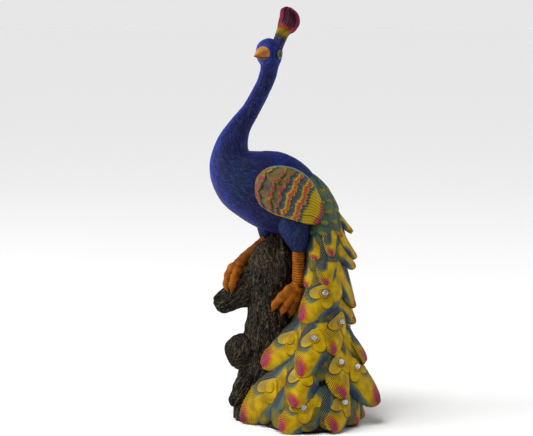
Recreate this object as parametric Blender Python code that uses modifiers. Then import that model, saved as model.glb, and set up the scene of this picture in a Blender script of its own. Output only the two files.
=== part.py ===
"""Peacock figurine: a cast and painted bird on a tree stump, with clear stones set in its train.

Run it with blender --background --python part.py, or from Blender's text editor.
Lengths are in metres and +Z is up. The bird faces -X and its left side faces -Y.
The carved forms are given in shares, which are hundredths of the figurine's height.
The stones, their seats and the clearances have their own sizes in metres.
"""
import math
from typing import NamedTuple

import bmesh
import bpy
import numpy as np
from mathutils import Matrix

# Driving dimensions
FIGURE_HEIGHT = 0.280
STONE_DIAMETER = 0.0045
STONE_HEIGHT = 0.0018
STONE_SIDES = 8
STONE_TABLE_SHARE = 0.6  # the flat top's width as a share of the stone's
SEAT_DEPTH = 0.0009
SEAT_CLEARANCE = 0.0003
BOSS_MARGIN = 0.0015
BOSS_RISE = 0.0011

# How finely the carved forms are fused, and how many triangles the casting keeps
FUSING_GRID = 0.0011
CASTING_TRIANGLES = 8300

SHARE = FIGURE_HEIGHT / 100.0

# Body and neck: back x, back z, breast x, breast z, half width
BODY_ROWS = (
    (-4.6, 89.6, -7.2, 89.4, 1.9),
    (-3.9, 86.5, -8.2, 86.7, 2.2),
    (-4.7, 83.4, -8.8, 83.9, 2.0),
    (-6.4, 79.6, -10.1, 81.2, 2.0),
    (-8.7, 75.1, -12.4, 77.3, 2.2),
    (-10.9, 70.7, -15.4, 73.8, 2.7),
    (-11.1, 66.6, -18.5, 69.5, 3.6),
    (-9.3, 66.2, -20.4, 64.1, 4.9),
    (-6.4, 66.3, -20.1, 59.0, 6.3),
    (-3.3, 66.0, -17.6, 53.9, 7.5),
    (-0.1, 64.7, -13.2, 50.2, 8.0),
    (2.5, 62.9, -8.4, 47.5, 8.0),
    (4.7, 60.5, -2.8, 46.1, 7.3),
    (6.2, 57.8, 2.1, 46.3, 5.6),
    (7.4, 54.4, 5.2, 47.5, 3.4),
)

# Core of the train, in level slices: height, front x, rear x, half width
TRAIN_ROWS = (
    (60.2, 2.2, 4.6, 2.6),
    (57.0, 3.0, 7.4, 4.7),
    (54.0, 3.8, 9.1, 5.5),
    (50.0, 4.0, 10.4, 6.0),
    (46.0, 3.2, 11.2, 6.4),
    (42.0, 2.5, 11.4, 6.6),
    (36.0, 1.9, 11.5, 6.9),
    (30.0, 1.4, 11.6, 7.4),
    (24.0, 0.4, 12.0, 8.1),
    (18.5, -1.7, 13.0, 9.6),
    (12.5, -4.6, 14.0, 11.2),
    (6.5, -7.4, 14.8, 12.6),
    (0.5, -9.0, 15.2, 13.2),
    (-3.0, -9.2, 15.3, 13.3),
)

# Stump: height, rear x, front x, half depth
STUMP_AXIS_Y = 0.5
ROOT_AXIS_Y = -1.9
BARK_DEPTH = 0.05
TRUNK_ROWS = (
    (46.6, -3.4, -5.0, 0.9),
    (45.4, -2.8, -5.8, 2.0),
    (43.1, -1.1, -8.9, 3.8),
    (40.4, 0.0, -10.8, 4.9),
    (37.7, 0.2, -11.5, 5.4),
    (34.0, -0.2, -11.8, 5.4),
    (31.0, -0.6, -11.6, 5.0),
    (27.7, -0.6, -11.3, 4.7),
    (24.7, -0.4, -11.4, 4.7),
    (21.0, 0.0, -12.3, 5.0),
    (17.2, 0.0, -13.3, 5.4),
    (13.4, -1.0, -13.2, 5.4),
    (9.6, -2.0, -13.8, 5.2),
    (5.8, -2.0, -14.3, 5.4),
    (2.5, -2.0, -14.6, 5.8),
    (-3.0, -2.0, -14.8, 6.0),
)
BURL_CENTRE = (-12.6, -0.6, 17.0)
BURL_HALF_SIZES = (4.0, 3.6, 4.3)

# Broken branch: x, upper z, lower z, half depth
BRANCH_ROWS = (
    (-6.5, 37.5, 30.0, 2.8),
    (-8.5, 38.8, 29.3, 3.9),
    (-10.8, 38.6, 28.3, 3.7),
    (-13.3, 36.8, 28.0, 3.3),
    (-15.2, 34.4, 27.2, 2.8),
    (-16.9, 32.8, 26.6, 2.4),
    (-18.4, 31.6, 27.0, 1.8),
    (-19.6, 30.1, 29.0, 0.6),
)

# Root at the front of the stump: inner x, inner z, outer x, outer z, half depth
ROOT_ROWS = (
    (-7.9, 13.0, -11.0, 15.2, 1.6),
    (-8.3, 11.0, -12.4, 13.4, 2.2),
    (-9.6, 8.3, -14.0, 10.6, 2.2),
    (-11.1, 5.4, -15.3, 7.4, 2.0),
    (-12.4, 3.2, -15.9, 5.0, 1.4),
    (-13.2, 2.8, -15.5, 3.9, 0.5),
)

# Wing: upper x, upper z, lower x, lower z, middle distance from the bird's plane, half thickness
WING_ROWS = (
    (-10.3, 58.8, -10.3, 58.0, 5.4, 0.5),
    (-9.4, 61.2, -9.7, 55.8, 5.9, 1.6),
    (-6.2, 63.1, -7.9, 53.5, 6.5, 2.3),
    (-2.9, 63.5, -5.0, 51.9, 6.9, 2.6),
    (0.6, 62.6, -1.8, 50.9, 7.1, 2.5),
    (3.6, 60.3, 1.0, 49.9, 7.0, 2.2),
    (5.5, 57.2, 3.6, 49.4, 6.5, 1.8),
    (6.9, 53.4, 5.6, 49.4, 5.9, 1.3),
    (7.2, 51.3, 6.9, 50.4, 5.6, 0.5),
)

# Rows of feathers on the wing, by their place from 0, its front, to 1, its tip
WING_COVERTS_END = 0.62
WING_COVERT_ROWS = 4
WING_COVERT_BASE = 0.30
WING_COVERT_RISE = 0.42
WING_ROW_SLANT = 0.06
WING_SCALLOP = 0.035
WING_SCALLOPS = 6.0
WING_QUILL_RISE = 0.16
WING_QUILLS = 14.0

# Crest, a stalk that opens into a fluted fan: rear x, rear z, front x, front z, half thickness
CREST_Y = -1.2
CREST_FLUTES = 9
CREST_FLUTE_DEPTH = 0.10
CREST_ROWS = (
    (-3.0, 90.6, -5.6, 91.0, 1.2),
    (-2.3, 92.4, -5.0, 93.4, 1.1),
    (-1.4, 94.1, -4.3, 95.4, 1.1),
    (-0.1, 94.9, -4.0, 97.0, 1.3),
    (1.0, 96.8, -3.6, 98.7, 1.6),
    (0.6, 98.9, -3.3, 100.0, 1.4),
    (-0.8, 100.2, -2.3, 100.5, 0.6),
)

# Thighs: rear x, rear z, front x, front z, middle distance from the bird's plane, half width
LEFT_THIGH_ROWS = (
    (3.3, 53.5, -4.2, 53.5, 4.6, 1.6),
    (3.6, 50.0, -4.2, 50.0, 5.0, 3.0),
    (3.5, 47.4, -3.7, 47.4, 5.1, 2.9),
    (3.2, 44.8, -2.2, 44.8, 5.1, 2.4),
    (2.4, 42.7, -0.6, 42.7, 5.1, 1.6),
)
RIGHT_THIGH_ROWS = (
    (-3.5, 52.0, -9.0, 52.0, -4.4, 1.6),
    (-3.6, 49.0, -9.4, 49.0, -4.4, 2.7),
    (-4.6, 46.3, -9.0, 46.6, -4.2, 2.2),
    (-5.7, 43.7, -8.4, 44.5, -4.0, 1.3),
)

# Knuckles along a shank or a toe
KNUCKLES = 4
KNUCKLE_SWELL = 0.07

# Shanks and toes as paths of x, y, z, with the half thickness at the start and at the end
LEG_PATHS = (
    (((0.9, -4.9, 43.6), (0.9, -5.0, 38.8), (0.7, -5.0, 34.0)), 1.5, 1.4),
    (((0.7, -5.0, 34.4), (-1.4, -5.4, 33.0), (-3.4, -5.3, 31.2), (-4.7, -5.0, 29.6), (-5.5, -4.4, 27.6)),
     1.45, 0.65),
    (((0.7, -5.0, 34.2), (-1.0, -5.2, 31.4), (-2.5, -4.8, 28.9), (-3.3, -3.9, 26.6)), 1.45, 0.65),
    (((0.7, -4.9, 34.0), (0.3, -4.5, 31.0), (-0.5, -3.8, 28.4), (-1.2, -2.8, 25.8)), 1.45, 0.65),
    (((0.7, -4.9, 34.0), (0.8, -3.0, 33.0), (-0.2, -1.4, 31.8)), 1.2, 0.5),
    (((-7.0, 3.4, 43.9), (-9.5, 2.6, 41.8), (-11.7, 1.9, 40.1), (-13.7, 1.0, 38.3)), 1.5, 1.45),
    (((-13.4, 1.2, 38.5), (-15.3, 0.3, 37.2), (-16.2, -0.6, 35.2), (-16.5, -1.2, 33.6), (-16.1, -1.6, 31.9)),
     1.4, 0.7),
    (((-13.2, 0.8, 38.4), (-14.2, -1.1, 36.2), (-15.0, -2.1, 34.2), (-15.3, -2.6, 31.9)), 1.4, 0.7),
    (((-13.5, 1.4, 38.3), (-14.8, 2.6, 36.8), (-15.9, 2.8, 34.6), (-16.3, 2.5, 32.2)), 1.4, 0.7),
    (((-13.4, 1.2, 38.6), (-11.6, 2.0, 39.2), (-10.0, 2.7, 38.6)), 1.2, 0.5),
)

# Head, beak and eyes. The head is turned from -X towards the viewer at -Y.
HEAD_CENTRE = (-6.2, -0.6, 89.8)
HEAD_HALF_SIZES = (3.5, 3.15, 3.5)
HEAD_TURN = math.radians(60.0)
HEAD_DIP = math.radians(5.0)
BEAK_REACH = 6.9
BEAK_START = 2.5
BEAK_HALF_HEIGHT = 1.6
BEAK_TIP_SHARE = 0.12
BEAK_RISE = 0.2
BEAK_HOOK = 0.2
EYE_FORWARD = 0.2
EYE_BELOW = 0.2
EYE_HALF_SIZES = (0.95, 0.42, 1.15)


class Feather(NamedTuple):
    """One feather, laid on the train's core from its root to its tip.

    A bearing is in degrees round the train's axis: 0 is the rear (+X), 90 the viewer's side (-Y).
    The face is the bearing that its tip looks to. A twin is its copy on the far side.
    """

    root_bearing: float
    root_height: float
    tip_bearing: float
    tip_height: float
    face: float
    width: float
    tip_lift: float
    stone: bool = False
    twin: bool = False


# Train feathers on the viewer's side. The far side has twins, mirrored about one bearing.
TRAIN_MIDDLE_BEARING = 17.0
TRAIN_FEATHERS = (
    Feather(4.0, 52.5, 4.0, 46.8, 10.0, 4.2, 3.2),
    Feather(20.0, 50.8, 34.0, 45.8, 34.0, 3.4, 1.0, twin=True),
    Feather(73.0, 50.8, 72.0, 41.9, 72.0, 3.8, 1.5, twin=True),
    Feather(129.0, 47.6, 108.0, 41.0, 100.0, 4.2, 1.5, twin=True),
    Feather(30.0, 48.8, 8.0, 40.6, 16.0, 4.6, 3.8),
    Feather(45.0, 45.5, 14.0, 38.4, 22.0, 4.6, 3.6),
    Feather(128.0, 42.5, 126.0, 34.2, 112.0, 4.4, 1.6, twin=True),
    Feather(78.0, 44.0, 82.0, 34.9, 82.0, 5.0, 1.6, twin=True),
    Feather(53.0, 42.5, 14.0, 28.8, 22.0, 5.6, 3.5, twin=True),
    Feather(46.0, 34.5, 14.0, 24.9, 24.0, 5.4, 3.3, twin=True),
    Feather(43.0, 38.5, 133.0, 26.4, 104.0, 8.4, 1.9, stone=True, twin=True),
    Feather(36.0, 31.5, 70.0, 18.8, 54.0, 7.2, 2.2, stone=True, twin=True),
    Feather(128.0, 26.5, 160.0, 14.6, 108.0, 9.0, 5.2, twin=True),
    Feather(37.0, 25.5, 12.0, 15.4, 42.0, 7.0, 4.4, twin=True),
    Feather(90.0, 29.0, 109.0, 13.9, 104.0, 8.2, 2.8, stone=True, twin=True),
    Feather(58.0, 23.0, 55.0, 8.4, 58.0, 7.8, 2.8, stone=True, twin=True),
    Feather(111.0, 20.0, 106.0, 6.8, 104.0, 8.2, 3.0, twin=True),
    Feather(38.0, 21.5, 18.0, 5.4, 52.0, 9.2, 6.6, stone=True),
    Feather(132.0, 17.0, 164.0, 0.7, 112.0, 9.4, 4.6, twin=True),
    Feather(79.0, 10.8, 118.0, 0.9, 104.0, 8.4, 2.4, stone=True, twin=True),
    Feather(40.0, 11.6, 67.0, 0.9, 62.0, 8.4, 2.6, stone=True, twin=True),
    Feather(12.0, 8.5, 34.0, 0.9, 32.0, 6.0, 2.2, twin=True),
)

# Plain feathers under them, in rings: tip height, first bearing, number of feathers, width, tip lift
UNDER_RINGS = (
    (37.0, -112.0, 7, 5.2, 0.7),
    (29.5, -128.0, 8, 5.6, 0.8),
    (21.5, -112.0, 8, 6.4, 0.9),
    (12.5, -124.0, 9, 7.6, 1.0),
    (0.9, -132.0, 11, 8.2, 1.5),
)
UNDER_FEATHER_LENGTH = 10.5
UNDER_RING_SWEEP = 282.0

# Small feathers on the rump, in rings: tip height, first bearing, number of feathers
RUMP_RINGS = ((56.6, -110.0, 7), (54.2, -128.0, 8), (51.8, -112.0, 8), (49.4, -126.0, 8), (46.8, -116.0, 7))
RUMP_RING_SWEEP = 250.0
RUMP_FEATHER_LENGTH = 3.8
RUMP_FEATHER_WIDTH = 4.0
RUMP_FEATHER_LIFT = 0.9

# Feather form
FEATHER_ROOT_LIFT = 0.2
FEATHER_THICKNESS = 0.95
FEATHER_EDGE_THICKNESS = 0.45
FEATHER_ARC = math.radians(55.0)
FEATHER_CROWN = 0.35
FACE_RISE = 0.25
ROOT_BLUNTNESS = 0.06
ROOT_POWER = 0.55
TIP_SHARPNESS = 0.99
TIP_POWER = 0.5
WIDEST_PRODUCT = 0.535  # the widest place's swell times its closing, which makes the width true
STONE_PLACE = 0.46
HEART_LOBE_AHEAD = 1.65
HEART_LOBE_ASIDE = 1.35
HEART_LOBE_RADIUS = 1.35
HEART_RISE = 0.28
HEART_EDGE = 0.22


def empty_the_scene():
    """Remove every object that the file opened with."""
    for thing in list(bpy.data.objects):
        bpy.data.objects.remove(thing, do_unlink=True)


def new_collection(name):
    """Make a collection in the scene."""
    group = bpy.data.collections.new(name)
    bpy.context.scene.collection.children.link(group)
    return group


def new_material(name, colour, roughness, metallic=0.0):
    """Make a Principled material from a linear colour."""
    material = bpy.data.materials.new(name)
    material.use_nodes = True
    shader = material.node_tree.nodes["Principled BSDF"]
    shader.inputs["Base Color"].default_value = (*colour, 1.0)
    shader.inputs["Roughness"].default_value = roughness
    shader.inputs["Metallic"].default_value = metallic
    return material


def smooth_rows(rows, steps):
    """Pass a Catmull-Rom curve through rows of numbers, with some steps between two rows."""
    rows = np.asarray(rows, dtype=float)
    padded = np.vstack([2.0 * rows[0] - rows[1], rows, 2.0 * rows[-1] - rows[-2]])
    places = np.linspace(0.0, len(rows) - 1.0, (len(rows) - 1) * steps + 1)
    index = np.minimum(places.astype(int), len(rows) - 2)
    t = (places - index)[:, None]
    a, b, c, d = (padded[index + k] for k in range(4))
    return 0.5 * (2.0 * b + (c - a) * t + (2.0 * a - 5.0 * b + 4.0 * c - d) * t ** 2
                  + (3.0 * b - 3.0 * c + d - a) * t ** 3)


def mesh_from_arrays(name, points, faces):
    """Make a mesh, with its faces turned outwards."""
    mesh = bpy.data.meshes.new(name)
    mesh.from_pydata([tuple(point) for point in points], [], faces)
    shell = bmesh.new()
    shell.from_mesh(mesh)
    bmesh.ops.recalc_face_normals(shell, faces=shell.faces)
    shell.to_mesh(mesh)
    shell.free()
    return mesh


def loft_mesh(name, rings):
    """Close a row of rings, an array of rings by sides by 3, into one body with pointed caps."""
    count, sides, _ = rings.shape
    points = np.vstack([rings.reshape(-1, 3), rings[0].mean(axis=0), rings[-1].mean(axis=0)])
    first, last = count * sides, count * sides + 1
    faces = []
    for ring in range(count - 1):
        for side in range(sides):
            after = (side + 1) % sides
            low = ring * sides
            faces.append((low + side, low + after, low + sides + after, low + sides + side))
    for side in range(sides):
        after = (side + 1) % sides
        faces.append((first, after, side))
        faces.append((last, (count - 1) * sides + side, (count - 1) * sides + after))
    return mesh_from_arrays(name, points * SHARE, faces)


def oval_rings(rows, middle_y, steps, sides):
    """Turn rows of two opposite points and a half width into oval rings.

    A row is x1, z1, x2, z2, half width, and middle_y is one number or one for each smoothed row.
    """
    rows = smooth_rows(rows, steps)
    angle = np.linspace(0.0, math.tau, sides, endpoint=False)
    centre_x = (rows[:, 0] + rows[:, 2]) / 2.0
    centre_z = (rows[:, 1] + rows[:, 3]) / 2.0
    reach_x = (rows[:, 0] - rows[:, 2]) / 2.0
    reach_z = (rows[:, 1] - rows[:, 3]) / 2.0
    middle = np.broadcast_to(np.asarray(middle_y, dtype=float), centre_x.shape)
    x = centre_x[:, None] + reach_x[:, None] * np.cos(angle)
    y = middle[:, None] - rows[:, 4][:, None] * np.sin(angle)
    z = centre_z[:, None] + reach_z[:, None] * np.cos(angle)
    return np.stack([x, y, z], axis=-1)


def body_mesh():
    """Loft the neck, breast and back."""
    return loft_mesh("body", oval_rings(BODY_ROWS, 0.0, 4, 40))


def train_slice(height):
    """Give the middle x, the half length and the half width of the train's core at a height."""
    table = np.asarray(TRAIN_ROWS)[::-1]
    front, rear, half_width = (np.interp(height, table[:, 0], table[:, k]) for k in (1, 2, 3))
    return (front + rear) / 2.0, (rear - front) / 2.0, half_width


def train_point(bearing, height, lift):
    """Give a point at a bearing and a height, a lift away from the train's core."""
    middle, half_length, half_width = train_slice(height)
    angle = np.radians(bearing)
    return np.stack([middle + (half_length + lift) * np.cos(angle),
                     -(half_width + lift) * np.sin(angle), height], axis=-1)


def train_core_mesh():
    """Loft the core that carries the feathers."""
    rows = [(rear, height, front, height, half) for height, front, rear, half in TRAIN_ROWS]
    return loft_mesh("train_core", oval_rings(rows, 0.0, 3, 48))


def stump_meshes():
    """Loft the trunk, the broken branch and the root, and add the burl."""
    trunk = [(rear, height, front, height, half) for height, rear, front, half in TRUNK_ROWS]
    branch = [(x, top, x, bottom, half) for x, top, bottom, half in BRANCH_ROWS]
    burl = ball_mesh("burl", np.array(BURL_CENTRE), np.diag(BURL_HALF_SIZES))
    limbs = {"trunk": oval_rings(trunk, STUMP_AXIS_Y, 3, 60),
             "branch": oval_rings(branch, STUMP_AXIS_Y, 4, 40),
             "root": oval_rings(ROOT_ROWS, ROOT_AXIS_Y, 3, 32)}
    return [burl] + [loft_mesh(name, rings + bark_ridges(rings)) for name, rings in limbs.items()]


def bark_ridges(rings):
    """Work out ridges of bark that run along a limb and wander round it."""
    middle = rings.mean(axis=1, keepdims=True)
    outward = rings - middle
    angle = np.linspace(0.0, math.tau, rings.shape[1], endpoint=False)[None, :]
    height = np.linspace(0.0, float(len(rings)), len(rings))[:, None]
    bend = 0.8 * np.sin(0.21 * height) + 0.5 * np.sin(0.37 * height + 2.0 * angle)
    wave = np.sin(6.0 * angle + bend) + 0.6 * np.sin(11.0 * angle - 1.7 * bend + 1.0)
    return outward * (BARK_DEPTH * wave)[..., None]


def wing_mesh(side):
    """Loft one wing, with its rows of coverts and quills as steps. Side is 1 for the viewer's side."""
    steps, sides = 8, 60
    rows = np.asarray(WING_ROWS)
    middles = smooth_rows(rows[:, 4:5], steps)[:, 0]
    rings = oval_rings(rows[:, (0, 1, 2, 3, 5)], -middles, steps, sides)
    along = np.linspace(0.0, 1.0, len(rings))[:, None]
    across = np.cos(np.linspace(0.0, math.tau, sides, endpoint=False))[None, :]
    outer = np.sin(np.linspace(0.0, math.tau, sides, endpoint=False))[None, :] > 0.0
    rings[..., 1] -= np.where(outer, wing_relief(along, across), 0.0)
    rings[..., 1] *= side
    return loft_mesh("wing", rings)


def wing_relief(along, across):
    """Give how far the wing's feathers stand out: scalloped rows of coverts, then the quills."""
    scallop = WING_SCALLOP * np.abs(np.sin(across * WING_SCALLOPS))
    place = along + WING_ROW_SLANT * across + scallop
    in_coverts = place < WING_COVERTS_END
    row = (place * WING_COVERT_ROWS / WING_COVERTS_END) % 1.0
    quills = WING_QUILL_RISE * np.sin(across * WING_QUILLS)
    return np.where(in_coverts, WING_COVERT_BASE + WING_COVERT_RISE * row, quills)


def head_axes():
    """Give the head's forward, sideways and upward directions."""
    forward = np.array([-math.cos(HEAD_TURN) * math.cos(HEAD_DIP),
                        -math.sin(HEAD_TURN) * math.cos(HEAD_DIP), -math.sin(HEAD_DIP)])
    sideways = np.array([math.sin(HEAD_TURN), -math.cos(HEAD_TURN), 0.0])
    return forward, sideways, np.cross(forward, sideways)


def head_meshes():
    """Make the head, the beak and the eyes."""
    forward, sideways, upward = head_axes()
    centre = np.array(HEAD_CENTRE)
    axes = np.column_stack([forward, sideways, upward])
    head = ball_mesh("head", centre, axes * np.array(HEAD_HALF_SIZES))
    ring = np.linspace(0.0, math.tau, 20, endpoint=False)
    circle = np.outer(np.cos(ring), sideways) + np.outer(np.sin(ring), upward)
    place = np.linspace(0.0, 1.0, 9)[:, None]
    middle = (centre + forward * (BEAK_START + (BEAK_REACH - BEAK_START) * place)
              + upward * (BEAK_RISE - BEAK_HOOK * place ** 2))
    size = BEAK_HALF_HEIGHT * np.maximum(BEAK_TIP_SHARE, 1.0 - place ** 1.5)
    beak = loft_mesh("beak", middle[:, None, :] + circle[None, :, :] * size[:, None, :])
    eyes = []
    for side in (1.0, -1.0):
        on_cheek = (centre + forward * EYE_FORWARD - upward * EYE_BELOW
                    + sideways * side * (HEAD_HALF_SIZES[1] - EYE_HALF_SIZES[1] / 2.0))
        eyes.append(ball_mesh("eye", on_cheek, axes * np.array(EYE_HALF_SIZES)))
    return [head, beak, *eyes]


def ball_mesh(name, centre, axes):
    """Make an ellipsoid from a sphere. The columns of axes are its half axes, in shares."""
    mesh = bpy.data.meshes.new(name)
    ball = bmesh.new()
    bmesh.ops.create_uvsphere(ball, u_segments=24, v_segments=14, radius=1.0)
    for vertex in ball.verts:
        vertex.co = (centre + axes @ np.array(vertex.co)) * SHARE
    bmesh.ops.recalc_face_normals(ball, faces=ball.faces)
    ball.to_mesh(mesh)
    ball.free()
    return mesh


def crest_mesh():
    """Loft the crest, with flutes that open towards its top."""
    sides = 40
    rings = oval_rings(CREST_ROWS, CREST_Y, 4, sides)
    angle = np.linspace(0.0, math.tau, sides, endpoint=False)
    growth = np.linspace(0.0, 1.0, len(rings))[:, None] ** 1.5
    middle = rings.mean(axis=1, keepdims=True)
    flutes = 1.0 + CREST_FLUTE_DEPTH * growth * np.cos(CREST_FLUTES * angle)[None, :]
    return loft_mesh("crest", middle + (rings - middle) * flutes[..., None])


def limb_mesh(path, start, end):
    """Make a shank or a toe: a tube along a path, with knuckles, that narrows to its end."""
    points = smooth_rows(path, 6)
    count = len(points)
    along = np.gradient(points, axis=0)
    along /= np.linalg.norm(along, axis=1, keepdims=True)
    across = np.cross(along, np.array([0.0, 1.0, 0.0]))
    across /= np.linalg.norm(across, axis=1, keepdims=True)
    third = np.cross(along, across)
    place = np.linspace(0.0, 1.0, count)
    radius = start + (end - start) * place ** 1.5
    radius *= 1.0 + KNUCKLE_SWELL * np.cos(place * math.tau * KNUCKLES)
    ring = np.linspace(0.0, math.tau, 14, endpoint=False)
    spokes = (across[:, None, :] * np.cos(ring)[None, :, None]
              + third[:, None, :] * np.sin(ring)[None, :, None])
    return loft_mesh("limb", points[:, None, :] + spokes * radius[:, None, None])


def thigh_mesh(rows):
    """Loft a thigh from rows that also give its distance from the bird's plane."""
    rows = np.asarray(rows)
    middles = -smooth_rows(rows[:, 4:5], 4)[:, 0]
    return loft_mesh("thigh", oval_rings(rows[:, (0, 1, 2, 3, 5)], middles, 4, 28))


def feather_frame(feather, place):
    """Give the midline of a feather at places from 0, its root, to 1, its tip.

    Returns the points and the directions across the feather and out of it.
    """
    def between(start, end, t):
        return start + (end - start) * t

    def midline(t):
        return train_point(between(feather.root_bearing, feather.tip_bearing, t),
                           between(feather.root_height, feather.tip_height, t),
                           between(FEATHER_ROOT_LIFT, feather.tip_lift, t ** 2))

    step = 0.01
    points = midline(place)
    along = midline(place + step) - midline(place - step)
    along /= np.linalg.norm(along, axis=-1, keepdims=True)
    face = np.radians(between(feather.root_bearing, feather.face, np.sqrt(place)))
    _, half_length, half_width = train_slice(points[:, 2])
    out = np.stack([half_width * np.cos(face), -half_length * np.sin(face), FACE_RISE * half_width], axis=-1)
    out -= along * np.sum(out * along, axis=-1, keepdims=True)
    out /= np.linalg.norm(out, axis=-1, keepdims=True)
    return points, np.cross(along, out), out


def feather_half_width(place, width):
    """Give the half width of a feather: it swells fast from the root and closes to a point."""
    swell = ((place + ROOT_BLUNTNESS) / (1.0 + ROOT_BLUNTNESS)) ** ROOT_POWER
    close = (1.0 - place * TIP_SHARPNESS) ** TIP_POWER
    return width / 2.0 * swell * close / WIDEST_PRODUCT


def eyespot_rise(ahead, aside):
    """Give how far the eyespot stands up: a boss round the stone and a heart with its notch ahead."""
    boss_radius = (STONE_DIAMETER / 2.0 + BOSS_MARGIN) / SHARE
    from_stone = np.hypot(ahead, aside)
    boss = np.clip((boss_radius - from_stone) / HEART_EDGE, 0.0, 1.0)
    from_lobe = np.hypot(ahead - HEART_LOBE_AHEAD, np.abs(aside) - HEART_LOBE_ASIDE)
    heart = np.clip((HEART_LOBE_RADIUS - from_lobe) / HEART_EDGE, 0.0, 1.0)
    groove = np.clip((from_stone - boss_radius) / HEART_EDGE, 0.0, 1.0)
    return np.maximum(boss * BOSS_RISE / SHARE, heart * groove * HEART_RISE)


def feather_mesh(feather):
    """Make one feather, a pointed shell that is arched across, with its eyespot if it has a stone."""
    rows, columns = 34, 23
    place = np.linspace(0.0, 1.0, rows)
    points, across, out = feather_frame(feather, place)
    length = np.linalg.norm(np.diff(points, axis=0), axis=1).sum()
    half = feather_half_width(place, feather.width)[:, None]
    turn = np.linspace(-1.0, 1.0, columns)[None, :] * FEATHER_ARC
    radius = half / math.sin(FEATHER_ARC)
    aside = radius * np.sin(turn)
    rise = radius * (np.cos(turn) - 1.0) + FEATHER_CROWN * half
    if feather.stone:
        rise = rise + eyespot_rise((place[:, None] - STONE_PLACE) * length, aside)
    thickness = FEATHER_EDGE_THICKNESS + (FEATHER_THICKNESS - FEATHER_EDGE_THICKNESS) * np.cos(turn)
    upper = points[:, None] + across[:, None] * aside[..., None] + out[:, None] * rise[..., None]
    lower = upper - out[:, None] * thickness[..., None]
    return mesh_from_arrays("feather", np.vstack([upper.reshape(-1, 3), lower.reshape(-1, 3)]) * SHARE,
                            shell_faces(rows, columns))


def shell_faces(rows, columns):
    """List the faces of a closed shell of two grids that share their border."""
    faces = []
    under = rows * columns
    for row in range(rows - 1):
        for column in range(columns - 1):
            corner = row * columns + column
            quad = (corner, corner + 1, corner + columns + 1, corner + columns)
            faces.append(quad)
            faces.append(tuple(under + index for index in reversed(quad)))
    border = ([column for column in range(columns)]
              + [row * columns + columns - 1 for row in range(1, rows)]
              + [(rows - 1) * columns + column for column in range(columns - 2, -1, -1)]
              + [row * columns for row in range(rows - 2, 0, -1)])
    for here, there in zip(border, border[1:] + border[:1]):
        faces.append((here, under + here, under + there, there))
    return faces


def twin_of(feather):
    """Mirror a feather to the far side of the train."""
    def mirrored(bearing):
        return 2.0 * TRAIN_MIDDLE_BEARING - bearing

    return feather._replace(root_bearing=mirrored(feather.root_bearing),
                            tip_bearing=mirrored(feather.tip_bearing), face=mirrored(feather.face))


def feather_ring(tip_height, first, count, width, lift, length, sweep):
    """List plain feathers that hang side by side round the train."""
    bearings = [first + sweep * index / (count - 1) for index in range(count)]
    return [Feather(bearing, tip_height + length, bearing, tip_height, bearing, width, lift)
            for bearing in bearings]


def all_feathers():
    """List the train's feathers on both sides, those under them, and the small ones on the rump."""
    feathers = list(TRAIN_FEATHERS)
    feathers += [twin_of(feather) for feather in TRAIN_FEATHERS if feather.twin]
    for height, first, count, width, lift in UNDER_RINGS:
        feathers += feather_ring(height, first, count, width, lift, UNDER_FEATHER_LENGTH, UNDER_RING_SWEEP)
    for height, first, count in RUMP_RINGS:
        feathers += feather_ring(height, first, count, RUMP_FEATHER_WIDTH, RUMP_FEATHER_LIFT,
                                 RUMP_FEATHER_LENGTH, RUMP_RING_SWEEP)
    return feathers


def stone_places():
    """List where each stone sits: the point on the boss's top and the directions of its face."""
    places = []
    for feather in all_feathers():
        if feather.stone:
            points, across, out = feather_frame(feather, np.array([STONE_PLACE]))
            half = feather_half_width(np.array([STONE_PLACE]), feather.width)[0]
            top = points[0] * SHARE + out[0] * (FEATHER_CROWN * half * SHARE + BOSS_RISE)
            places.append((top, across[0], out[0]))
    return places


def fuse(meshes, collection):
    """Fuse overlapping meshes into one skin on a fine grid, and keep only its outer shell."""
    joined = bmesh.new()
    for mesh in meshes:
        joined.from_mesh(mesh)
    rough = bpy.data.meshes.new("rough")
    joined.to_mesh(rough)
    joined.free()
    guide = bpy.data.objects.new("rough", rough)
    collection.objects.link(guide)
    remesh = guide.modifiers.new("Fuse", "REMESH")
    remesh.mode = "VOXEL"
    remesh.voxel_size = FUSING_GRID
    graph = bpy.context.evaluated_depsgraph_get()
    skin = bpy.data.meshes.new_from_object(guide.evaluated_get(graph))
    bpy.data.objects.remove(guide, do_unlink=True)
    keep_outer_shell(skin)
    return skin


def keep_outer_shell(mesh):
    """Delete every loose shell but the one with the most points."""
    shell = bmesh.new()
    shell.from_mesh(mesh)
    shell.verts.ensure_lookup_table()
    seen = [False] * len(shell.verts)
    groups = []
    for start in shell.verts:
        if seen[start.index]:
            continue
        seen[start.index] = True
        group, waiting = [start], [start]
        while waiting:
            for edge in waiting.pop().link_edges:
                for vertex in edge.verts:
                    if not seen[vertex.index]:
                        seen[vertex.index] = True
                        group.append(vertex)
                        waiting.append(vertex)
        groups.append(group)
    groups.sort(key=len)
    loose = [vertex for group in groups[:-1] for vertex in group]
    bmesh.ops.delete(shell, geom=loose, context="VERTS")
    shell.to_mesh(mesh)
    shell.free()


def new_object(name, mesh, collection, parent):
    """Link a mesh as an object under the figurine's empty."""
    thing = bpy.data.objects.new(name, mesh)
    collection.objects.link(thing)
    thing.parent = parent
    return thing


def new_cutter(name, mesh, collection, parent):
    """Link a mesh as a cutter, which is drawn as wire and isn't a part."""
    thing = new_object(name, mesh, collection, parent)
    thing.display_type = "WIRE"
    thing.hide_render = True
    return thing


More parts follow.
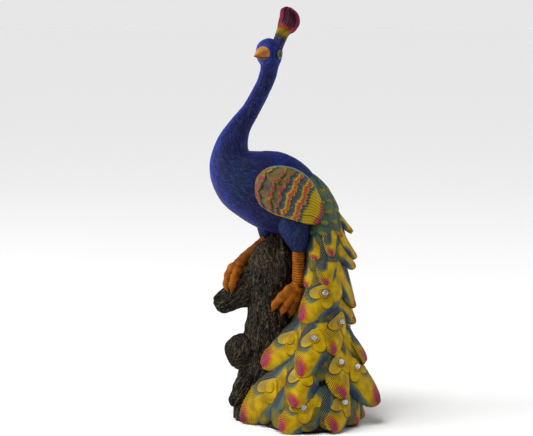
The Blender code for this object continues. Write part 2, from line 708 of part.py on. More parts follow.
def cone_mesh(name, sides, lower_radius, upper_radius, height):
    """Make a cone or cylinder that stands on its origin."""
    mesh = bpy.data.meshes.new(name)
    shape = bmesh.new()
    bmesh.ops.create_cone(shape, cap_ends=True, segments=sides, radius1=lower_radius,
                          radius2=upper_radius, depth=height)
    bmesh.ops.translate(shape, verts=shape.verts, vec=(0.0, 0.0, height / 2.0))
    shape.to_mesh(mesh)
    shape.free()
    return mesh


def stand(thing, foot, across, out):
    """Place an object with its foot at a point and its own z axis along a direction."""
    thing.rotation_mode = "QUATERNION"
    along = np.cross(out, across)
    turn = Matrix([[across[k], along[k], out[k]] for k in range(3)])
    thing.location = foot
    thing.rotation_quaternion = turn.to_quaternion()


def cut_by(thing, name, cutter):
    """Take a cutter's space out of an object."""
    cut = thing.modifiers.new(name, "BOOLEAN")
    cut.operation = "DIFFERENCE"
    cut.solver = "EXACT"
    cut.object = cutter


def floor_mesh():
    """Make a block under the ground, which cuts the casting's foot flat."""
    mesh = bpy.data.meshes.new("floor")
    block = bmesh.new()
    bmesh.ops.create_cube(block, size=FIGURE_HEIGHT)
    bmesh.ops.translate(block, verts=block.verts, vec=(0.0, 0.0, -FIGURE_HEIGHT / 2.0))
    block.to_mesh(mesh)
    block.free()
    return mesh


def set_stones(casting, parts, cutters, parent):
    """Cut a seat for each stone and set the stone in it."""
    crystal = new_material("clear_stone", (0.85, 0.87, 0.9), 0.05)
    seat_radius = STONE_DIAMETER / 2.0 + SEAT_CLEARANCE
    seat = cone_mesh("seat", 2 * STONE_SIDES, seat_radius, seat_radius, STONE_HEIGHT + 2.0 * SEAT_DEPTH)
    stone = cone_mesh("stone", STONE_SIDES, STONE_DIAMETER / 2.0, STONE_TABLE_SHARE * STONE_DIAMETER / 2.0,
                      STONE_HEIGHT)
    stone.materials.append(crystal)
    for number, (top, across, out) in enumerate(stone_places(), start=1):
        bottom = top - out * SEAT_DEPTH
        cutter = new_cutter(f"seat_{number:02d}", seat, cutters, parent)
        stand(cutter, bottom, across, out)
        cut_by(casting, f"Seat {number:02d}", cutter)
        gem = new_object(f"rhinestone_{number:02d}", stone, parts, parent)
        stand(gem, bottom + out * SEAT_CLEARANCE, across, out)


def centre_on_the_ground(figurine, parts):
    """Move the figurine so that the middle of its box stands over the origin."""
    graph = bpy.context.evaluated_depsgraph_get()
    corners = []
    for thing in parts.objects:
        if thing.type == "MESH":
            solid = thing.evaluated_get(graph)
            corners += [solid.matrix_world @ vertex.co for vertex in solid.data.vertices]
    corners = np.array([tuple(corner) for corner in corners])
    middle = (corners.min(axis=0) + corners.max(axis=0)) / 2.0
    figurine.location = (-middle[0], -middle[1], 0.0)


def main():
    """Build the figurine."""
    empty_the_scene()
    parts = new_collection("peacock_figurine")
    cutters = new_collection("cutters")
    figurine = bpy.data.objects.new("figurine", None)
    parts.objects.link(figurine)
    resin = new_material("painted_resin", (0.03, 0.05, 0.32), 0.4)

    meshes = [body_mesh(), train_core_mesh(), *stump_meshes(), wing_mesh(1.0), wing_mesh(-1.0),
              *head_meshes(), crest_mesh(), thigh_mesh(LEFT_THIGH_ROWS), thigh_mesh(RIGHT_THIGH_ROWS)]
    meshes += [limb_mesh(*limb) for limb in LEG_PATHS]
    meshes += [feather_mesh(feather) for feather in all_feathers()]
    skin = fuse(meshes, cutters)
    skin.name = "peacock_casting"
    skin.materials.clear()
    skin.materials.append(resin)
    casting = new_object("peacock_casting", skin, parts, figurine)
    skin.shade_smooth()
    triangles = sum(len(face.vertices) - 2 for face in skin.polygons)
    thin = casting.modifiers.new("Thin", "DECIMATE")
    thin.ratio = CASTING_TRIANGLES / triangles
    thin.use_collapse_triangulate = True

    cut_by(casting, "Flat foot", new_cutter("floor", floor_mesh(), cutters, figurine))
    set_stones(casting, parts, cutters, figurine)
    centre_on_the_ground(figurine, parts)


main()
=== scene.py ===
"""Looks of the peacock figurine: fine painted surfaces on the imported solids.

The bird, its train and the stump are worked out as surfaces in shares, which are hundredths of
the figurine's height, with -X the way the body faces and -Y the side of the viewer. The stones'
places in the frame say where that carving stands.
"""

import logging
import math
from dataclasses import dataclass, field, replace
from enum import Enum

import bmesh
import bpy
import numpy as np
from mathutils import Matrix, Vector


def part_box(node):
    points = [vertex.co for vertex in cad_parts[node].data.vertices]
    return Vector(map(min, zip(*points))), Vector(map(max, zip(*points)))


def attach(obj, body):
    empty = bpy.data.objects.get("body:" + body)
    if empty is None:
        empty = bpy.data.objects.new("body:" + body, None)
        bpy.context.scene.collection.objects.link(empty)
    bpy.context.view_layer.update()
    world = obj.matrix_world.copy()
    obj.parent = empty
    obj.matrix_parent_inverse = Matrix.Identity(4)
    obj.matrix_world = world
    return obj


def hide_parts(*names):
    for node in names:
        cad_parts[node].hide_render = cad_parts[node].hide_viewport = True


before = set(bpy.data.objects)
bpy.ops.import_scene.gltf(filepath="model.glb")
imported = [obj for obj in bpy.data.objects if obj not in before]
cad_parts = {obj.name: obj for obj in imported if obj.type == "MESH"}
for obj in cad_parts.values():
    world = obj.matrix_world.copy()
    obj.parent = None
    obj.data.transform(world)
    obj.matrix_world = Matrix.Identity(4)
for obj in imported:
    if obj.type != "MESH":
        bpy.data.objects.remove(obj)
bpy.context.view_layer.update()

LOG = logging.getLogger("peacock")
FIGURE_HEIGHT = 0.280
SHARE = FIGURE_HEIGHT / 100.0
MM = 0.001
SHARE_MM = SHARE / MM
BODY_NAME = "root"
CASTING = "peacock_casting"
# Levels of noise that are taken for the lowest and the highest places of a carving or a mottle
PORE_RANGE = (0.35, 0.65)
STROKE_RANGE = (0.36, 0.64)
MOTTLE_RANGE = (0.35, 0.68)
SHEEN_RANGE = (0.3, 0.7)
# Heights of a carving at which the paint in its valleys and on its crests begins and is full
VALLEY_RANGE = (0.62, 0.1)
CREST_RANGE = (0.6, 1.0)


def linear(hex_colour: str) -> tuple[float, float, float, float]:
    """Turn an sRGB hex colour to the linear numbers that a shader takes.

    Args:
        hex_colour: The colour as "#RRGGBB".

    Returns:
        Linear red, green, blue and an alpha of 1.
    """
    parts = [int(hex_colour[place:place + 2], 16) / 255.0 for place in (1, 3, 5)]
    red, green, blue = (part / 12.92 if part <= 0.04045 else ((part + 0.055) / 1.055) ** 2.4
                        for part in parts)
    return red, green, blue, 1.0


def add_node(tree: bpy.types.NodeTree, kind: str, inputs: dict | None = None,
             **settings: object) -> bpy.types.Node:
    """Add a shader node with its settings, its plain values and its links.

    Args:
        tree: The material's or world's node tree.
        kind: The node's type.
        inputs: For each input's name or number, a plain value, or the socket that it is linked to.
        **settings: The node's own settings.

    Returns:
        The new node.
    """
    node = tree.nodes.new(kind)
    for name, value in settings.items():
        setattr(node, name, value)
    for key, value in (inputs or {}).items():
        if isinstance(value, bpy.types.NodeSocket):
            tree.links.new(value, node.inputs[key])
        else:
            node.inputs[key].default_value = value
    return node


def add_noise(tree: bpy.types.NodeTree, place: bpy.types.NodeSocket, size_mm: float,
              detail: float = 2.0) -> bpy.types.NodeSocket:
    """Add noise with grains of a real size.

    Args:
        tree: The material's node tree.
        place: Object coordinates.
        size_mm: The grains' size.
        detail: How many finer layers it has.

    Returns:
        The noise's socket, from 0 to 1.
    """
    return add_node(tree, "ShaderNodeTexNoise", {"Vector": place, "Scale": 1.0 / (size_mm * MM),
                                                 "Detail": detail}).outputs[0]


def add_math(tree: bpy.types.NodeTree, operation: str,
             *values: bpy.types.NodeSocket | float) -> bpy.types.NodeSocket:
    """Work out one step on numbers.

    Args:
        tree: The material's or world's node tree.
        operation: The step, by the shader's own name for it.
        *values: Its numbers, plain or linked.

    Returns:
        The result's socket.
    """
    return add_node(tree, "ShaderNodeMath", dict(enumerate(values)), operation=operation).outputs[0]


def add_range(tree: bpy.types.NodeTree, value: bpy.types.NodeSocket, old: tuple[float, float],
              new: tuple[float, float] = (0.0, 1.0), blend: str = "SMOOTHSTEP"
              ) -> bpy.types.NodeSocket:
    """Turn numbers in one range to another, held at its ends.

    Args:
        tree: The material's or world's node tree.
        value: The numbers.
        old: The range's start and end.
        new: What they become.
        blend: How the numbers between them go, by the shader's own name for it.

    Returns:
        The new numbers' socket.
    """
    return add_node(tree, "ShaderNodeMapRange", {0: value, 1: old[0], 2: old[1], 3: new[0], 4: new[1]},
                    interpolation_type=blend).outputs[0]


def add_mix(tree: bpy.types.NodeTree, factor: bpy.types.NodeSocket,
            under: bpy.types.NodeSocket | tuple, over: tuple) -> bpy.types.NodeSocket:
    """Lay one colour over another.

    Args:
        tree: The material's node tree.
        factor: How much of the upper colour shows, from 0 to 1.
        under: The lower colour.
        over: The upper colour.

    Returns:
        The mixed colour's socket.
    """
    return add_node(tree, "ShaderNodeMix", {0: factor, 6: under, 7: over}, data_type="RGBA").outputs[2]


def new_material(name: str, values: dict[str, object]
                 ) -> tuple[bpy.types.Material, bpy.types.NodeTree, bpy.types.Node]:
    """Make a material with a Principled shader.

    Args:
        name: The material's name.
        values: A plain value for each of the shader's inputs that isn't left as it is.

    Returns:
        The material, its node tree and its shader.
    """
    material = bpy.data.materials.new(name)
    material.use_nodes = True
    shader = material.node_tree.nodes["Principled BSDF"]
    for key, value in values.items():
        shader.inputs[key].default_value = value
    return material, material.node_tree, shader


def add_relief(tree: bpy.types.NodeTree, shader: bpy.types.Node, size_mm: float, strength: float,
               depth_mm: float) -> None:
    """Give a shader fine relief from noise.

    Args:
        tree: The material's node tree.
        shader: The shader.
        size_mm: The grains' size.
        strength: How strongly it shows, from 0 to 1.
        depth_mm: The grains' depth.
    """
    place = add_node(tree, "ShaderNodeTexCoord").outputs["Object"]
    bump = add_node(tree, "ShaderNodeBump", {"Height": add_noise(tree, place, size_mm),
                                             "Strength": strength, "Distance": depth_mm * MM})
    tree.links.new(bump.outputs[0], shader.inputs["Normal"])


def add_object(name: str, data: bpy.types.ID) -> bpy.types.Object:
    """Put a mesh, a light or a camera in the scene.

    Args:
        name: The object's name.
        data: What it shows.

    Returns:
        The object.
    """
    made = bpy.data.objects.new(name, data)
    bpy.context.scene.collection.objects.link(made)
    return made


def round_angles(count: int) -> np.ndarray:
    """Give a row of angles that are even steps round a circle."""
    return np.linspace(0.0, math.tau, count, endpoint=False)[None, :]


def fade(start: float, end: float, value: np.ndarray) -> np.ndarray:
    """Rise smoothly from 0 at start to 1 at end: 3t^2 - 2t^3, with t the share of the way.

    Args:
        start: Where the rise begins.
        end: Where it ends, which may be below start for a fall.
        value: The numbers to place on it.

    Returns:
        Numbers from 0 to 1.
    """
    t = np.clip((value - start) / (end - start), 0.0, 1.0)
    return t * t * (3.0 - 2.0 * t)


def hill(value: np.ndarray, middle: float, width: float) -> np.ndarray:
    """Give a bell of height 1: e to the minus square of the distance from its middle in widths."""
    return np.exp(-((value - middle) / width) ** 2)


def smooth_rows(rows: np.ndarray, places: np.ndarray) -> np.ndarray:
    """Read a Catmull-Rom curve through rows of numbers.

    Between rows b and c, with a before and d after them, a place t of the way gives
    (2b + (c-a)t + (2a-5b+4c-d)t^2 + (3b-3c+d-a)t^3) / 2.

    Args:
        rows: The rows that the curve passes through.
        places: Where to read it, from 0 to the number of rows less one.

    Returns:
        One row for each place.
    """
    padded = np.vstack([2.0 * rows[0] - rows[1], rows, 2.0 * rows[-1] - rows[-2]])
    index = np.clip(places.astype(int), 0, len(rows) - 2)
    t = (places - index)[:, None]
    a, b, c, d = (padded[index + step] for step in range(4))
    return 0.5 * (2.0 * b + (c - a) * t + (2.0 * a - 5.0 * b + 4.0 * c - d) * t ** 2
                  + (3.0 * b - 3.0 * c + d - a) * t ** 3)


def even_places(rows: np.ndarray, count: int) -> np.ndarray:
    """Find places on a curve through rows that are even steps apart in space.

    Args:
        rows: The rows that the curve passes through.
        count: How many places.

    Returns:
        The places, from 0 to the number of rows less one.
    """
    fine = np.linspace(0.0, len(rows) - 1.0, 60 * len(rows))
    steps = np.linalg.norm(np.diff(smooth_rows(rows, fine), axis=0), axis=1)
    gone = np.concatenate([[0.0], np.cumsum(steps)])
    return np.interp(np.linspace(0.0, gone[-1], count), gone, fine)


def wander(along: np.ndarray, angle: np.ndarray, turns: tuple[int, int], rate: float, count: int,
           seed: int) -> np.ndarray:
    """Add up waves that run along a limb and wander round it, so that they close round it.

    The sum over k of sin(m angle + f along + p), with m a whole number in turns, f up to rate and p
    any phase, divided by the root of their number.

    Args:
        along: Distance along the limb, in shares.
        angle: Angle round it, in radians.
        turns: The fewest and the most waves round the limb.
        rate: The fastest change along it, in radians a share.
        count: How many waves are added.
        seed: Which waves.

    Returns:
        The sum at each point, mostly between -1.5 and 1.5.
    """
    chance = np.random.default_rng(seed)
    total = np.zeros(np.broadcast(along, angle).shape)
    for _ in range(count):
        waves = chance.integers(turns[0], turns[1] + 1)
        total += np.sin(waves * angle + chance.uniform(-rate, rate) * along
                        + 1.2 * np.sin(0.35 * along + chance.uniform(0.0, math.tau))
                        + chance.uniform(0.0, math.tau))
    return total / math.sqrt(count)


def strip_faces(rows: int, columns: int, around: bool) -> np.ndarray:
    """List the four-sided faces of a grid of points, numbered row by row.

    Args:
        rows: Rows of points.
        columns: Points in a row.
        around: Whether each row closes on itself.

    Returns:
        Four point numbers for each face.
    """
    row, column = np.meshgrid(np.arange(rows - 1), np.arange(columns if around else columns - 1),
                              indexing="ij")
    after = (column + 1) % columns
    low, high = row * columns, (row + 1) * columns
    return np.stack([low + column, low + after, high + after, high + column], axis=-1).reshape(-1, 4)


def grid_normals(grid: np.ndarray, around: bool) -> np.ndarray:
    """Give the unit normals of a grid: its column direction crossed with its row direction.

    Args:
        grid: Rows by columns by 3 points.
        around: Whether each row closes on itself.

    Returns:
        A normal for each point.
    """
    down = np.gradient(grid, axis=0)
    if around:
        over = np.roll(grid, -1, axis=1) - np.roll(grid, 1, axis=1)
    else:
        over = np.gradient(grid, axis=1)
    normal = np.cross(over, down)
    return normal / np.maximum(np.linalg.norm(normal, axis=-1, keepdims=True), 1e-9)


@dataclass
class Form:
    """A closed form: points in shares, faces, and painted values at each point."""

    points: np.ndarray
    quads: np.ndarray
    triangles: np.ndarray
    values: dict[str, np.ndarray] = field(default_factory=dict)

    @staticmethod
    def joined(forms: list["Form"]) -> "Form":
        """Put forms side by side in one. A value that a form lacks is 0 there.

        Args:
            forms: The forms to join.

        Returns:
            One form.
        """
        starts = np.cumsum([0] + [len(form.points) for form in forms])
        names = {name: value.shape[1:] for form in forms for name, value in form.values.items()}
        values = {name: np.concatenate([form.values.get(name, np.zeros((len(form.points), *shape)))
                                        for form in forms]) for name, shape in names.items()}
        return Form(np.vstack([form.points for form in forms]),
                    np.vstack([form.quads + start for form, start in zip(forms, starts)]),
                    np.vstack([form.triangles + start for form, start in zip(forms, starts)]), values)


def tube_form(grid: np.ndarray, values: dict[str, np.ndarray]) -> Form:
    """Close rings of points into one form, with a fan of triangles to a pole at each end.

    Args:
        grid: Rings by sides by 3 points, in shares.
        values: Painted values, one for each point of the grid.

    Returns:
        The closed form.
    """
    rings, sides = grid.shape[:2]
    column = np.arange(sides)
    after = (column + 1) % sides
    first, last, low = rings * sides, rings * sides + 1, (rings - 1) * sides
    fans = np.vstack([np.stack([np.full(sides, first), after, column], axis=1),
                      np.stack([np.full(sides, last), low + column, low + after], axis=1)])
    painted = {}
    for name, value in values.items():
        value = np.broadcast_to(value, (rings, sides) + value.shape[2:])
        ends = np.stack([value[0].mean(axis=0), value[-1].mean(axis=0)])
        painted[name] = np.concatenate([value.reshape((-1,) + value.shape[2:]), ends])
    points = np.vstack([grid.reshape(-1, 3), grid[0].mean(axis=0), grid[-1].mean(axis=0)])
    return Form(points, strip_faces(rings, sides, around=True), fans, painted)


@dataclass(frozen=True)
class Loft:
    """A body lofted through ovals.

    A row is x1, z1, x2, z2, the middle's y and the half width: an oval through two opposite points
    in the bird's plane, half width to each side of it. A point of a ring at an angle is
    middle + (half of point 1 less point 2) cos(angle), and y = middle y - half width sin(angle).
    """

    rows: tuple[tuple[float, ...], ...]
    rings: int
    sides: int

    def grid(self) -> tuple[np.ndarray, np.ndarray, np.ndarray]:
        """Work out the rings.

        Returns:
            The points, the distance along in shares for each ring, and the angle for each side.
        """
        rows = np.asarray(self.rows, dtype=float)
        read = smooth_rows(rows, even_places(rows, self.rings))
        angle = round_angles(self.sides)
        x1, z1, x2, z2, middle, half = (read[:, column][:, None] for column in range(6))
        points = np.stack([(x1 + x2) / 2.0 + (x1 - x2) / 2.0 * np.cos(angle),
                           middle - half * np.sin(angle),
                           (z1 + z2) / 2.0 + (z1 - z2) / 2.0 * np.cos(angle)], axis=-1)
        centre = points.mean(axis=1)
        gone = np.concatenate([[0.0], np.cumsum(np.linalg.norm(np.diff(centre, axis=0), axis=1))])
        return points, gone[:, None], angle

    @staticmethod
    def raised(grid: np.ndarray, height: np.ndarray) -> np.ndarray:
        """Move a ring grid's points out along its normals.

        Args:
            grid: The rings.
            height: How far each point moves, in shares.

        Returns:
            The moved rings.
        """
        normal = grid_normals(grid, around=True)
        outward = np.sum(normal * (grid - grid.mean(axis=1, keepdims=True)), axis=-1).mean()
        return grid + normal * (np.sign(outward) * height)[..., None]

    @staticmethod
    def lay(grid: np.ndarray, along: np.ndarray, angle: np.ndarray) -> np.ndarray:
        """Give each point's distance along and round the form, for patterns that follow it.

        Args:
            grid: The rings.
            along: Distance along, in shares.
            angle: Angle round, in radians.

        Returns:
            The two distances in mm, and a third number that tells one side from the other.
        """
        radius = np.linalg.norm(grid - grid.mean(axis=1, keepdims=True), axis=-1).mean(axis=1)[:, None]
        round_it = np.minimum(angle, math.tau - angle) * radius
        parts = np.broadcast_arrays(along * SHARE_MM, round_it * SHARE_MM, 4.0 * np.sin(angle))
        return np.stack(parts, axis=-1)


class Pattern(Enum):
    """How the lines of a carving are laid."""

    STROKES = "streaks of noise along the piece's own lay"
    RIDGES = "even ridges that follow the piece's own phase"
    PORES = "grains with no direction"


@dataclass(frozen=True)
class Carving:
    """Fine carved lines, with paint left in their valleys and brushed over their crests."""

    pattern: Pattern
    source: str = "lay"
    mask: str = ""
    length_mm: float = 8.0
    width_mm: float = 0.7
    depth_mm: float = 0.1
    wobble: float = 0.25
    valley: str = "#000000"
    valley_cover: float = 0.0
    crest: str = "#FFFFFF"
    crest_cover: float = 0.0

    def height(self, tree: bpy.types.NodeTree, place: bpy.types.NodeSocket) -> bpy.types.NodeSocket:
        """Add the nodes of the carving's height, from 0 to 1.

        Args:
            tree: The material's node tree.
            place: Object coordinates.

        Returns:
            The height's socket.
        """
        if self.pattern is Pattern.PORES:
            noise = add_noise(tree, place, self.width_mm, 3.0)
            return add_range(tree, noise, PORE_RANGE, blend="LINEAR")
        source = add_node(tree, "ShaderNodeAttribute", attribute_name=self.source)
        if self.pattern is Pattern.STROKES:
            scaled = add_node(tree, "ShaderNodeVectorMath",
                              {0: source.outputs["Vector"],
                               1: (1.0 / self.length_mm, 1.0 / self.width_mm, 1.0)},
                              operation="MULTIPLY")
            noise = add_node(tree, "ShaderNodeTexNoise",
                             {"Vector": scaled.outputs[0], "Scale": 1.0, "Detail": 2.0,
                              "Distortion": self.wobble})
            return add_range(tree, noise.outputs[0], STROKE_RANGE, blend="LINEAR")
        noise = add_noise(tree, place, self.length_mm, 1.0)
        bent = add_math(tree, "MULTIPLY_ADD", noise, self.wobble, source.outputs["Fac"])
        wave = add_math(tree, "SINE", add_math(tree, "MULTIPLY", bent, math.tau))
        return add_range(tree, wave, (-1.0, 1.0), blend="LINEAR")

    def cut(self, tree: bpy.types.NodeTree, place: bpy.types.NodeSocket,
            colour: bpy.types.NodeSocket, normal: bpy.types.NodeSocket | None
            ) -> tuple[bpy.types.NodeSocket, bpy.types.NodeSocket]:
        """Carve the surface and paint its valleys and crests.

        Args:
            tree: The material's node tree.
            place: Object coordinates.
            colour: The paint so far.
            normal: The relief so far, if there is any.

        Returns:
            The new colour and the new normal.
        """
        height = self.height(tree, place)
        where: bpy.types.NodeSocket | float = 1.0
        if self.mask:
            where = add_node(tree, "ShaderNodeAttribute", attribute_name=self.mask).outputs["Fac"]
        masked = add_math(tree, "MULTIPLY", height, where)
        for tint, cover, heights in ((self.valley, self.valley_cover, VALLEY_RANGE),
                                     (self.crest, self.crest_cover, CREST_RANGE)):
            if cover:
                level = add_range(tree, height, heights, (0.0, cover))
                colour = add_mix(tree, add_math(tree, "MULTIPLY", level, where), colour, linear(tint))
        relief = {"Height": masked, "Distance": self.depth_mm * MM, "Strength": 1.0}
        if normal is not None:
            relief["Normal"] = normal
        return colour, add_node(tree, "ShaderNodeBump", relief).outputs[0]


@dataclass(frozen=True)
class PaintCoat:
    """One paint laid over those before it, where a value of the piece goes from start to end."""

    colour: str
    mask: str
    start: float = 0.0
    end: float = 1.0
    cover: float = 1.0
    patchiness: float = 0.25
    patch_mm: float = 3.0

    def over(self, tree: bpy.types.NodeTree, place: bpy.types.NodeSocket,
             colour: bpy.types.NodeSocket) -> bpy.types.NodeSocket:
        """Lay the paint over a colour, with an edge broken up by noise.

        Args:
            tree: The material's node tree.
            place: Object coordinates.
            colour: The paint so far.

        Returns:
            The new colour.
        """
        spread = self.patchiness * (self.end - self.start)
        value = add_node(tree, "ShaderNodeAttribute", attribute_name=self.mask).outputs["Fac"]
        noise = add_noise(tree, place, self.patch_mm, 3.0)
        broken = add_math(tree, "MULTIPLY_ADD", noise, spread * 2.0, value)
        factor = add_range(tree, broken, (self.start + spread, self.end + spread), (0.0, self.cover))
        return add_mix(tree, factor, colour, linear(self.colour))


@dataclass(frozen=True)
class PaintedResin:
    """Cast polyester resin with brushed and sprayed acrylic paint under a satin varnish.

    The casting carries the carved lines. Thin paint lies unevenly on them, a brown wash stays in
    the valleys, and the varnish gives a soft broad highlight.
    """

    name: str
    base: str
    deep: str
    coats: tuple[PaintCoat, ...] = ()
    carvings: tuple[Carving, ...] = ()
    mottle_mm: float = 6.0
    roughness: tuple[float, float] = (0.45, 0.6)
    varnish: float = 0.04
    varnish_roughness: float = 0.3
    ior: float = 1.45
    highlight: float = 0.12

    def build(self) -> bpy.types.Material:
        """Make the material.

        Returns:
            The material, with a Principled shader.
        """
        material, tree, shader = new_material(self.name, {
            "IOR": self.ior, "Specular IOR Level": self.highlight, "Coat Weight": self.varnish,
            "Coat Roughness": self.varnish_roughness})
        place = add_node(tree, "ShaderNodeTexCoord").outputs["Object"]
        mottle = add_noise(tree, place, self.mottle_mm, 4.0)
        spread = add_range(tree, mottle, MOTTLE_RANGE, blend="LINEAR")
        colour = add_mix(tree, spread, linear(self.deep), linear(self.base))
        for coat in self.coats:
            colour = coat.over(tree, place, colour)
        normal = None
        for carving in self.carvings:
            colour, normal = carving.cut(tree, place, colour, normal)
        sheen = add_range(tree, mottle, SHEEN_RANGE, self.roughness, "LINEAR")
        tree.links.new(colour, shader.inputs["Base Color"])
        tree.links.new(sheen, shader.inputs["Roughness"])
        if normal is not None:
            tree.links.new(normal, shader.inputs["Normal"])
        return material


@dataclass(frozen=True)
class ClearAcrylic:
    """Moulded clear acrylic, polished: facets that are bright or dark by what they mirror."""

    name: str = "clear_acrylic"
    tint: str = "#F4F6F8"
    ior: float = 1.49
    roughness: float = 0.03
    clearness: float = 0.75
    scuff_mm: float = 0.4
    scuff_strength: float = 0.15
    scuff_depth_mm: float = 0.02

    def build(self) -> bpy.types.Material:
        """Make the material.

        Returns:
            The material, see-through by plain values.
        """
        material, tree, shader = new_material(self.name, {
            "Base Color": linear(self.tint), "Transmission Weight": self.clearness,
            "Roughness": self.roughness, "IOR": self.ior})
        add_relief(tree, shader, self.scuff_mm, self.scuff_strength, self.scuff_depth_mm)
        return material


@dataclass(frozen=True)
class FoilBack:
    """Vacuum-coated silver foil on the back of a stone: a mirror that throws light back out."""

    name: str = "silver_foil_back"
    tint: str = "#7C7668"
    roughness: float = 0.22
    crease_mm: float = 0.9
    crease_strength: float = 0.5
    crease_depth_mm: float = 0.1

    def build(self) -> bpy.types.Material:
        """Make the material.

        Returns:
            The material, a metal with slight creases.
        """
        material, tree, shader = new_material(self.name, {
            "Base Color": linear(self.tint), "Metallic": 1.0, "Roughness": self.roughness})
        add_relief(tree, shader, self.crease_mm, self.crease_strength, self.crease_depth_mm)
        return material


# The casting's own grain, under every paint: it keeps the highlights from looking like plastic film
PORES = Carving(Pattern.PORES, width_mm=0.5, depth_mm=0.03)

# Deep royal blue with short dark strokes and lighter brushed crests, so that the body reads as down
PLUMAGE = PaintedResin(
    "blue_acrylic_on_carved_resin", "#1F2A86", "#12175C",
    # Painted shade on flanks, low belly and thighs; a painted highlight on breast, head top and face ring
    coats=(PaintCoat("#0C0E30", "shade", 0.1, 0.9, 0.85),
           PaintCoat("#16384C", "teal", 0.1, 1.0, 0.6, 0.6),
           PaintCoat("#3444A8", "light", 0.1, 1.0, 0.7, 0.4)),
    carvings=(Carving(Pattern.STROKES, length_mm=2.4, width_mm=0.42, depth_mm=0.24, wobble=0.9,
                      valley="#06081E", valley_cover=0.75, crest="#42529E", crest_cover=0.4),
              PORES))

# Paint and painted shade laid over a train feather, from the first coat to the last
TRAIN_COATS = (
    # Painted shade at the feather's root and along its trailing edge
    PaintCoat("#5A3C00", "shade", 0.15, 0.9, 0.9, 0.3),
    PaintCoat("#34544E", "blue", 0.12, 0.45, 0.9, 0.5, 3.0),
    PaintCoat("#14264C", "blue", 0.45, 0.95, 0.92, 0.5, 2.5),
    PaintCoat("#A83A0A", "pink", 0.05, 0.5, 0.8, 0.8, 1.6),
    PaintCoat("#881C4A", "pink", 0.35, 0.85, 0.95, 0.7, 1.6),
    PaintCoat("#48081F", "tip", 0.2, 0.9, 0.85, 0.3),
    # A dark brown outline round the eyespot, kept mostly tipward as painted shadow under its raised edge
    PaintCoat("#4A2400", "outline", 0.6, 0.1, 0.9, 0.3, 1.5),
    # Painted shade on the feather's underside and all over the core
    PaintCoat("#201604", "under", 0.3, 0.9, 0.9, 0.2))

# Warm gold with dark cut barbs, which gives the feathers their brightness and their fine rows
TRAIN_PAINT = PaintedResin(
    "golden_acrylic_on_carved_resin", "#BC9C00", "#8E6E00", coats=TRAIN_COATS,
    carvings=(Carving(Pattern.RIDGES, source="barb", mask="comb", length_mm=5.0, depth_mm=0.2,
                      wobble=0.3, valley="#0E1204", valley_cover=0.85, crest="#BEAC10",
                      crest_cover=0.3), PORES))

# Dull olive without the pink, darker than the gold as painted shade, so that the feathers underneath stay
# back
UNDER_PAINT = replace(
    TRAIN_PAINT, name="olive_acrylic_with_painted_shade_on_carved_resin", base="#7A6400", deep="#2C3A34",
    coats=tuple(coat for coat in TRAIN_COATS if coat.mask not in ("pink", "tip")))

# Green to dark teal with small gold and rust tips, the way from the blue back to the gold train
RUMP_PAINT = replace(
    TRAIN_PAINT, name="green_acrylic_on_carved_resin", base="#46603F", deep="#223C48",
    # Painted shade at each feather's root and trailing edge, and on its underside
    coats=(PaintCoat("#14242E", "shade", 0.15, 0.9, 0.7, 0.4),
           PaintCoat("#7E7A10", "pink", 0.05, 0.4, 0.8, 0.6, 2.0),
           PaintCoat("#7C3A28", "pink", 0.5, 1.1, 0.75, 0.6, 2.0),
           PaintCoat("#1C1606", "under", 0.3, 0.9, 0.9, 0.2)))

# Olive with crimson dabs, coral and gold bands on slate, and gold primaries: the liveliest part
WING_PAINT = PaintedResin(
    "mixed_acrylics_on_carved_wing", "#7C6C10", "#4E4A14",
    coats=(PaintCoat("#26323E", "front", 0.35, 0.9, 0.85, 1.3, 1.8),
           PaintCoat("#2C4456", "teal", 0.25, 0.8, 0.9, 0.7, 1.6),
           PaintCoat("#AE9200", "yellow", 0.2, 0.9, 0.9, 0.9, 1.6),
           PaintCoat("#9A2430", "coral", 0.15, 0.7, 0.9, 0.9, 1.4),
           PaintCoat("#801C3C", "magenta", 0.15, 0.85, 0.92, 1.2, 1.4),
           PaintCoat("#5A7470", "rim", 0.25, 0.8, 0.8, 0.6, 2.0),
           PaintCoat("#4E2A5C", "purple", 0.3, 0.8, 0.85, 0.3),
           PaintCoat("#8FA6BA", "shaft", 0.45, 0.9, 0.6, 0.5, 1.5),
           # Painted shade in the seams between feathers, under each row's step and in the primaries'
           # groove
           PaintCoat("#1E1806", "gap", 0.2, 0.9, 0.6, 0.4, 1.2)),
    carvings=(Carving(Pattern.RIDGES, source="barb", mask="comb", length_mm=5.0, depth_mm=0.14,
                      wobble=0.08, valley="#3E2E00", valley_cover=0.6, crest="#C8B830",
                      crest_cover=0.2), PORES))

# Navy, olive, gold and red in bands up the stalk, and a magenta fan that is nearly black inside
CREST_PAINT = PaintedResin(
    "blended_acrylics_on_carved_crest", "#1E2E6A", "#101A40",
    coats=(PaintCoat("#3E4410", "up", 0.22, 0.30, 0.95),
           PaintCoat("#8E7206", "up", 0.30, 0.38, 0.95),
           PaintCoat("#8E2A0C", "up", 0.44, 0.52, 0.9),
           PaintCoat("#7E2044", "up", 0.52, 0.62, 1.0),
           PaintCoat("#7E2044", "edge", 0.2, 0.7, 1.0),
           PaintCoat("#30061C", "heart", 0.2, 0.9, 0.95)),
    carvings=(Carving(Pattern.STROKES, length_mm=9.0, width_mm=0.6, depth_mm=0.25, wobble=0.2,
                      valley="#14030C", valley_cover=0.5, crest="#B0607C", crest_cover=0.15),
              PORES))

# Burnt orange with brown between the rings of scales, bright against the black wood
LEG_PAINT = PaintedResin(
    "orange_acrylic_on_carved_resin", "#A25A00", "#6A3600",
    coats=(PaintCoat("#5A2A04", "claw", 0.3, 1.0, 0.4),),
    carvings=(Carving(Pattern.RIDGES, source="ring", mask="scale", length_mm=4.0, depth_mm=0.14,
                      wobble=0.3, valley="#4A1C00", valley_cover=0.6, crest="#C87414",
                      crest_cover=0.25), PORES))

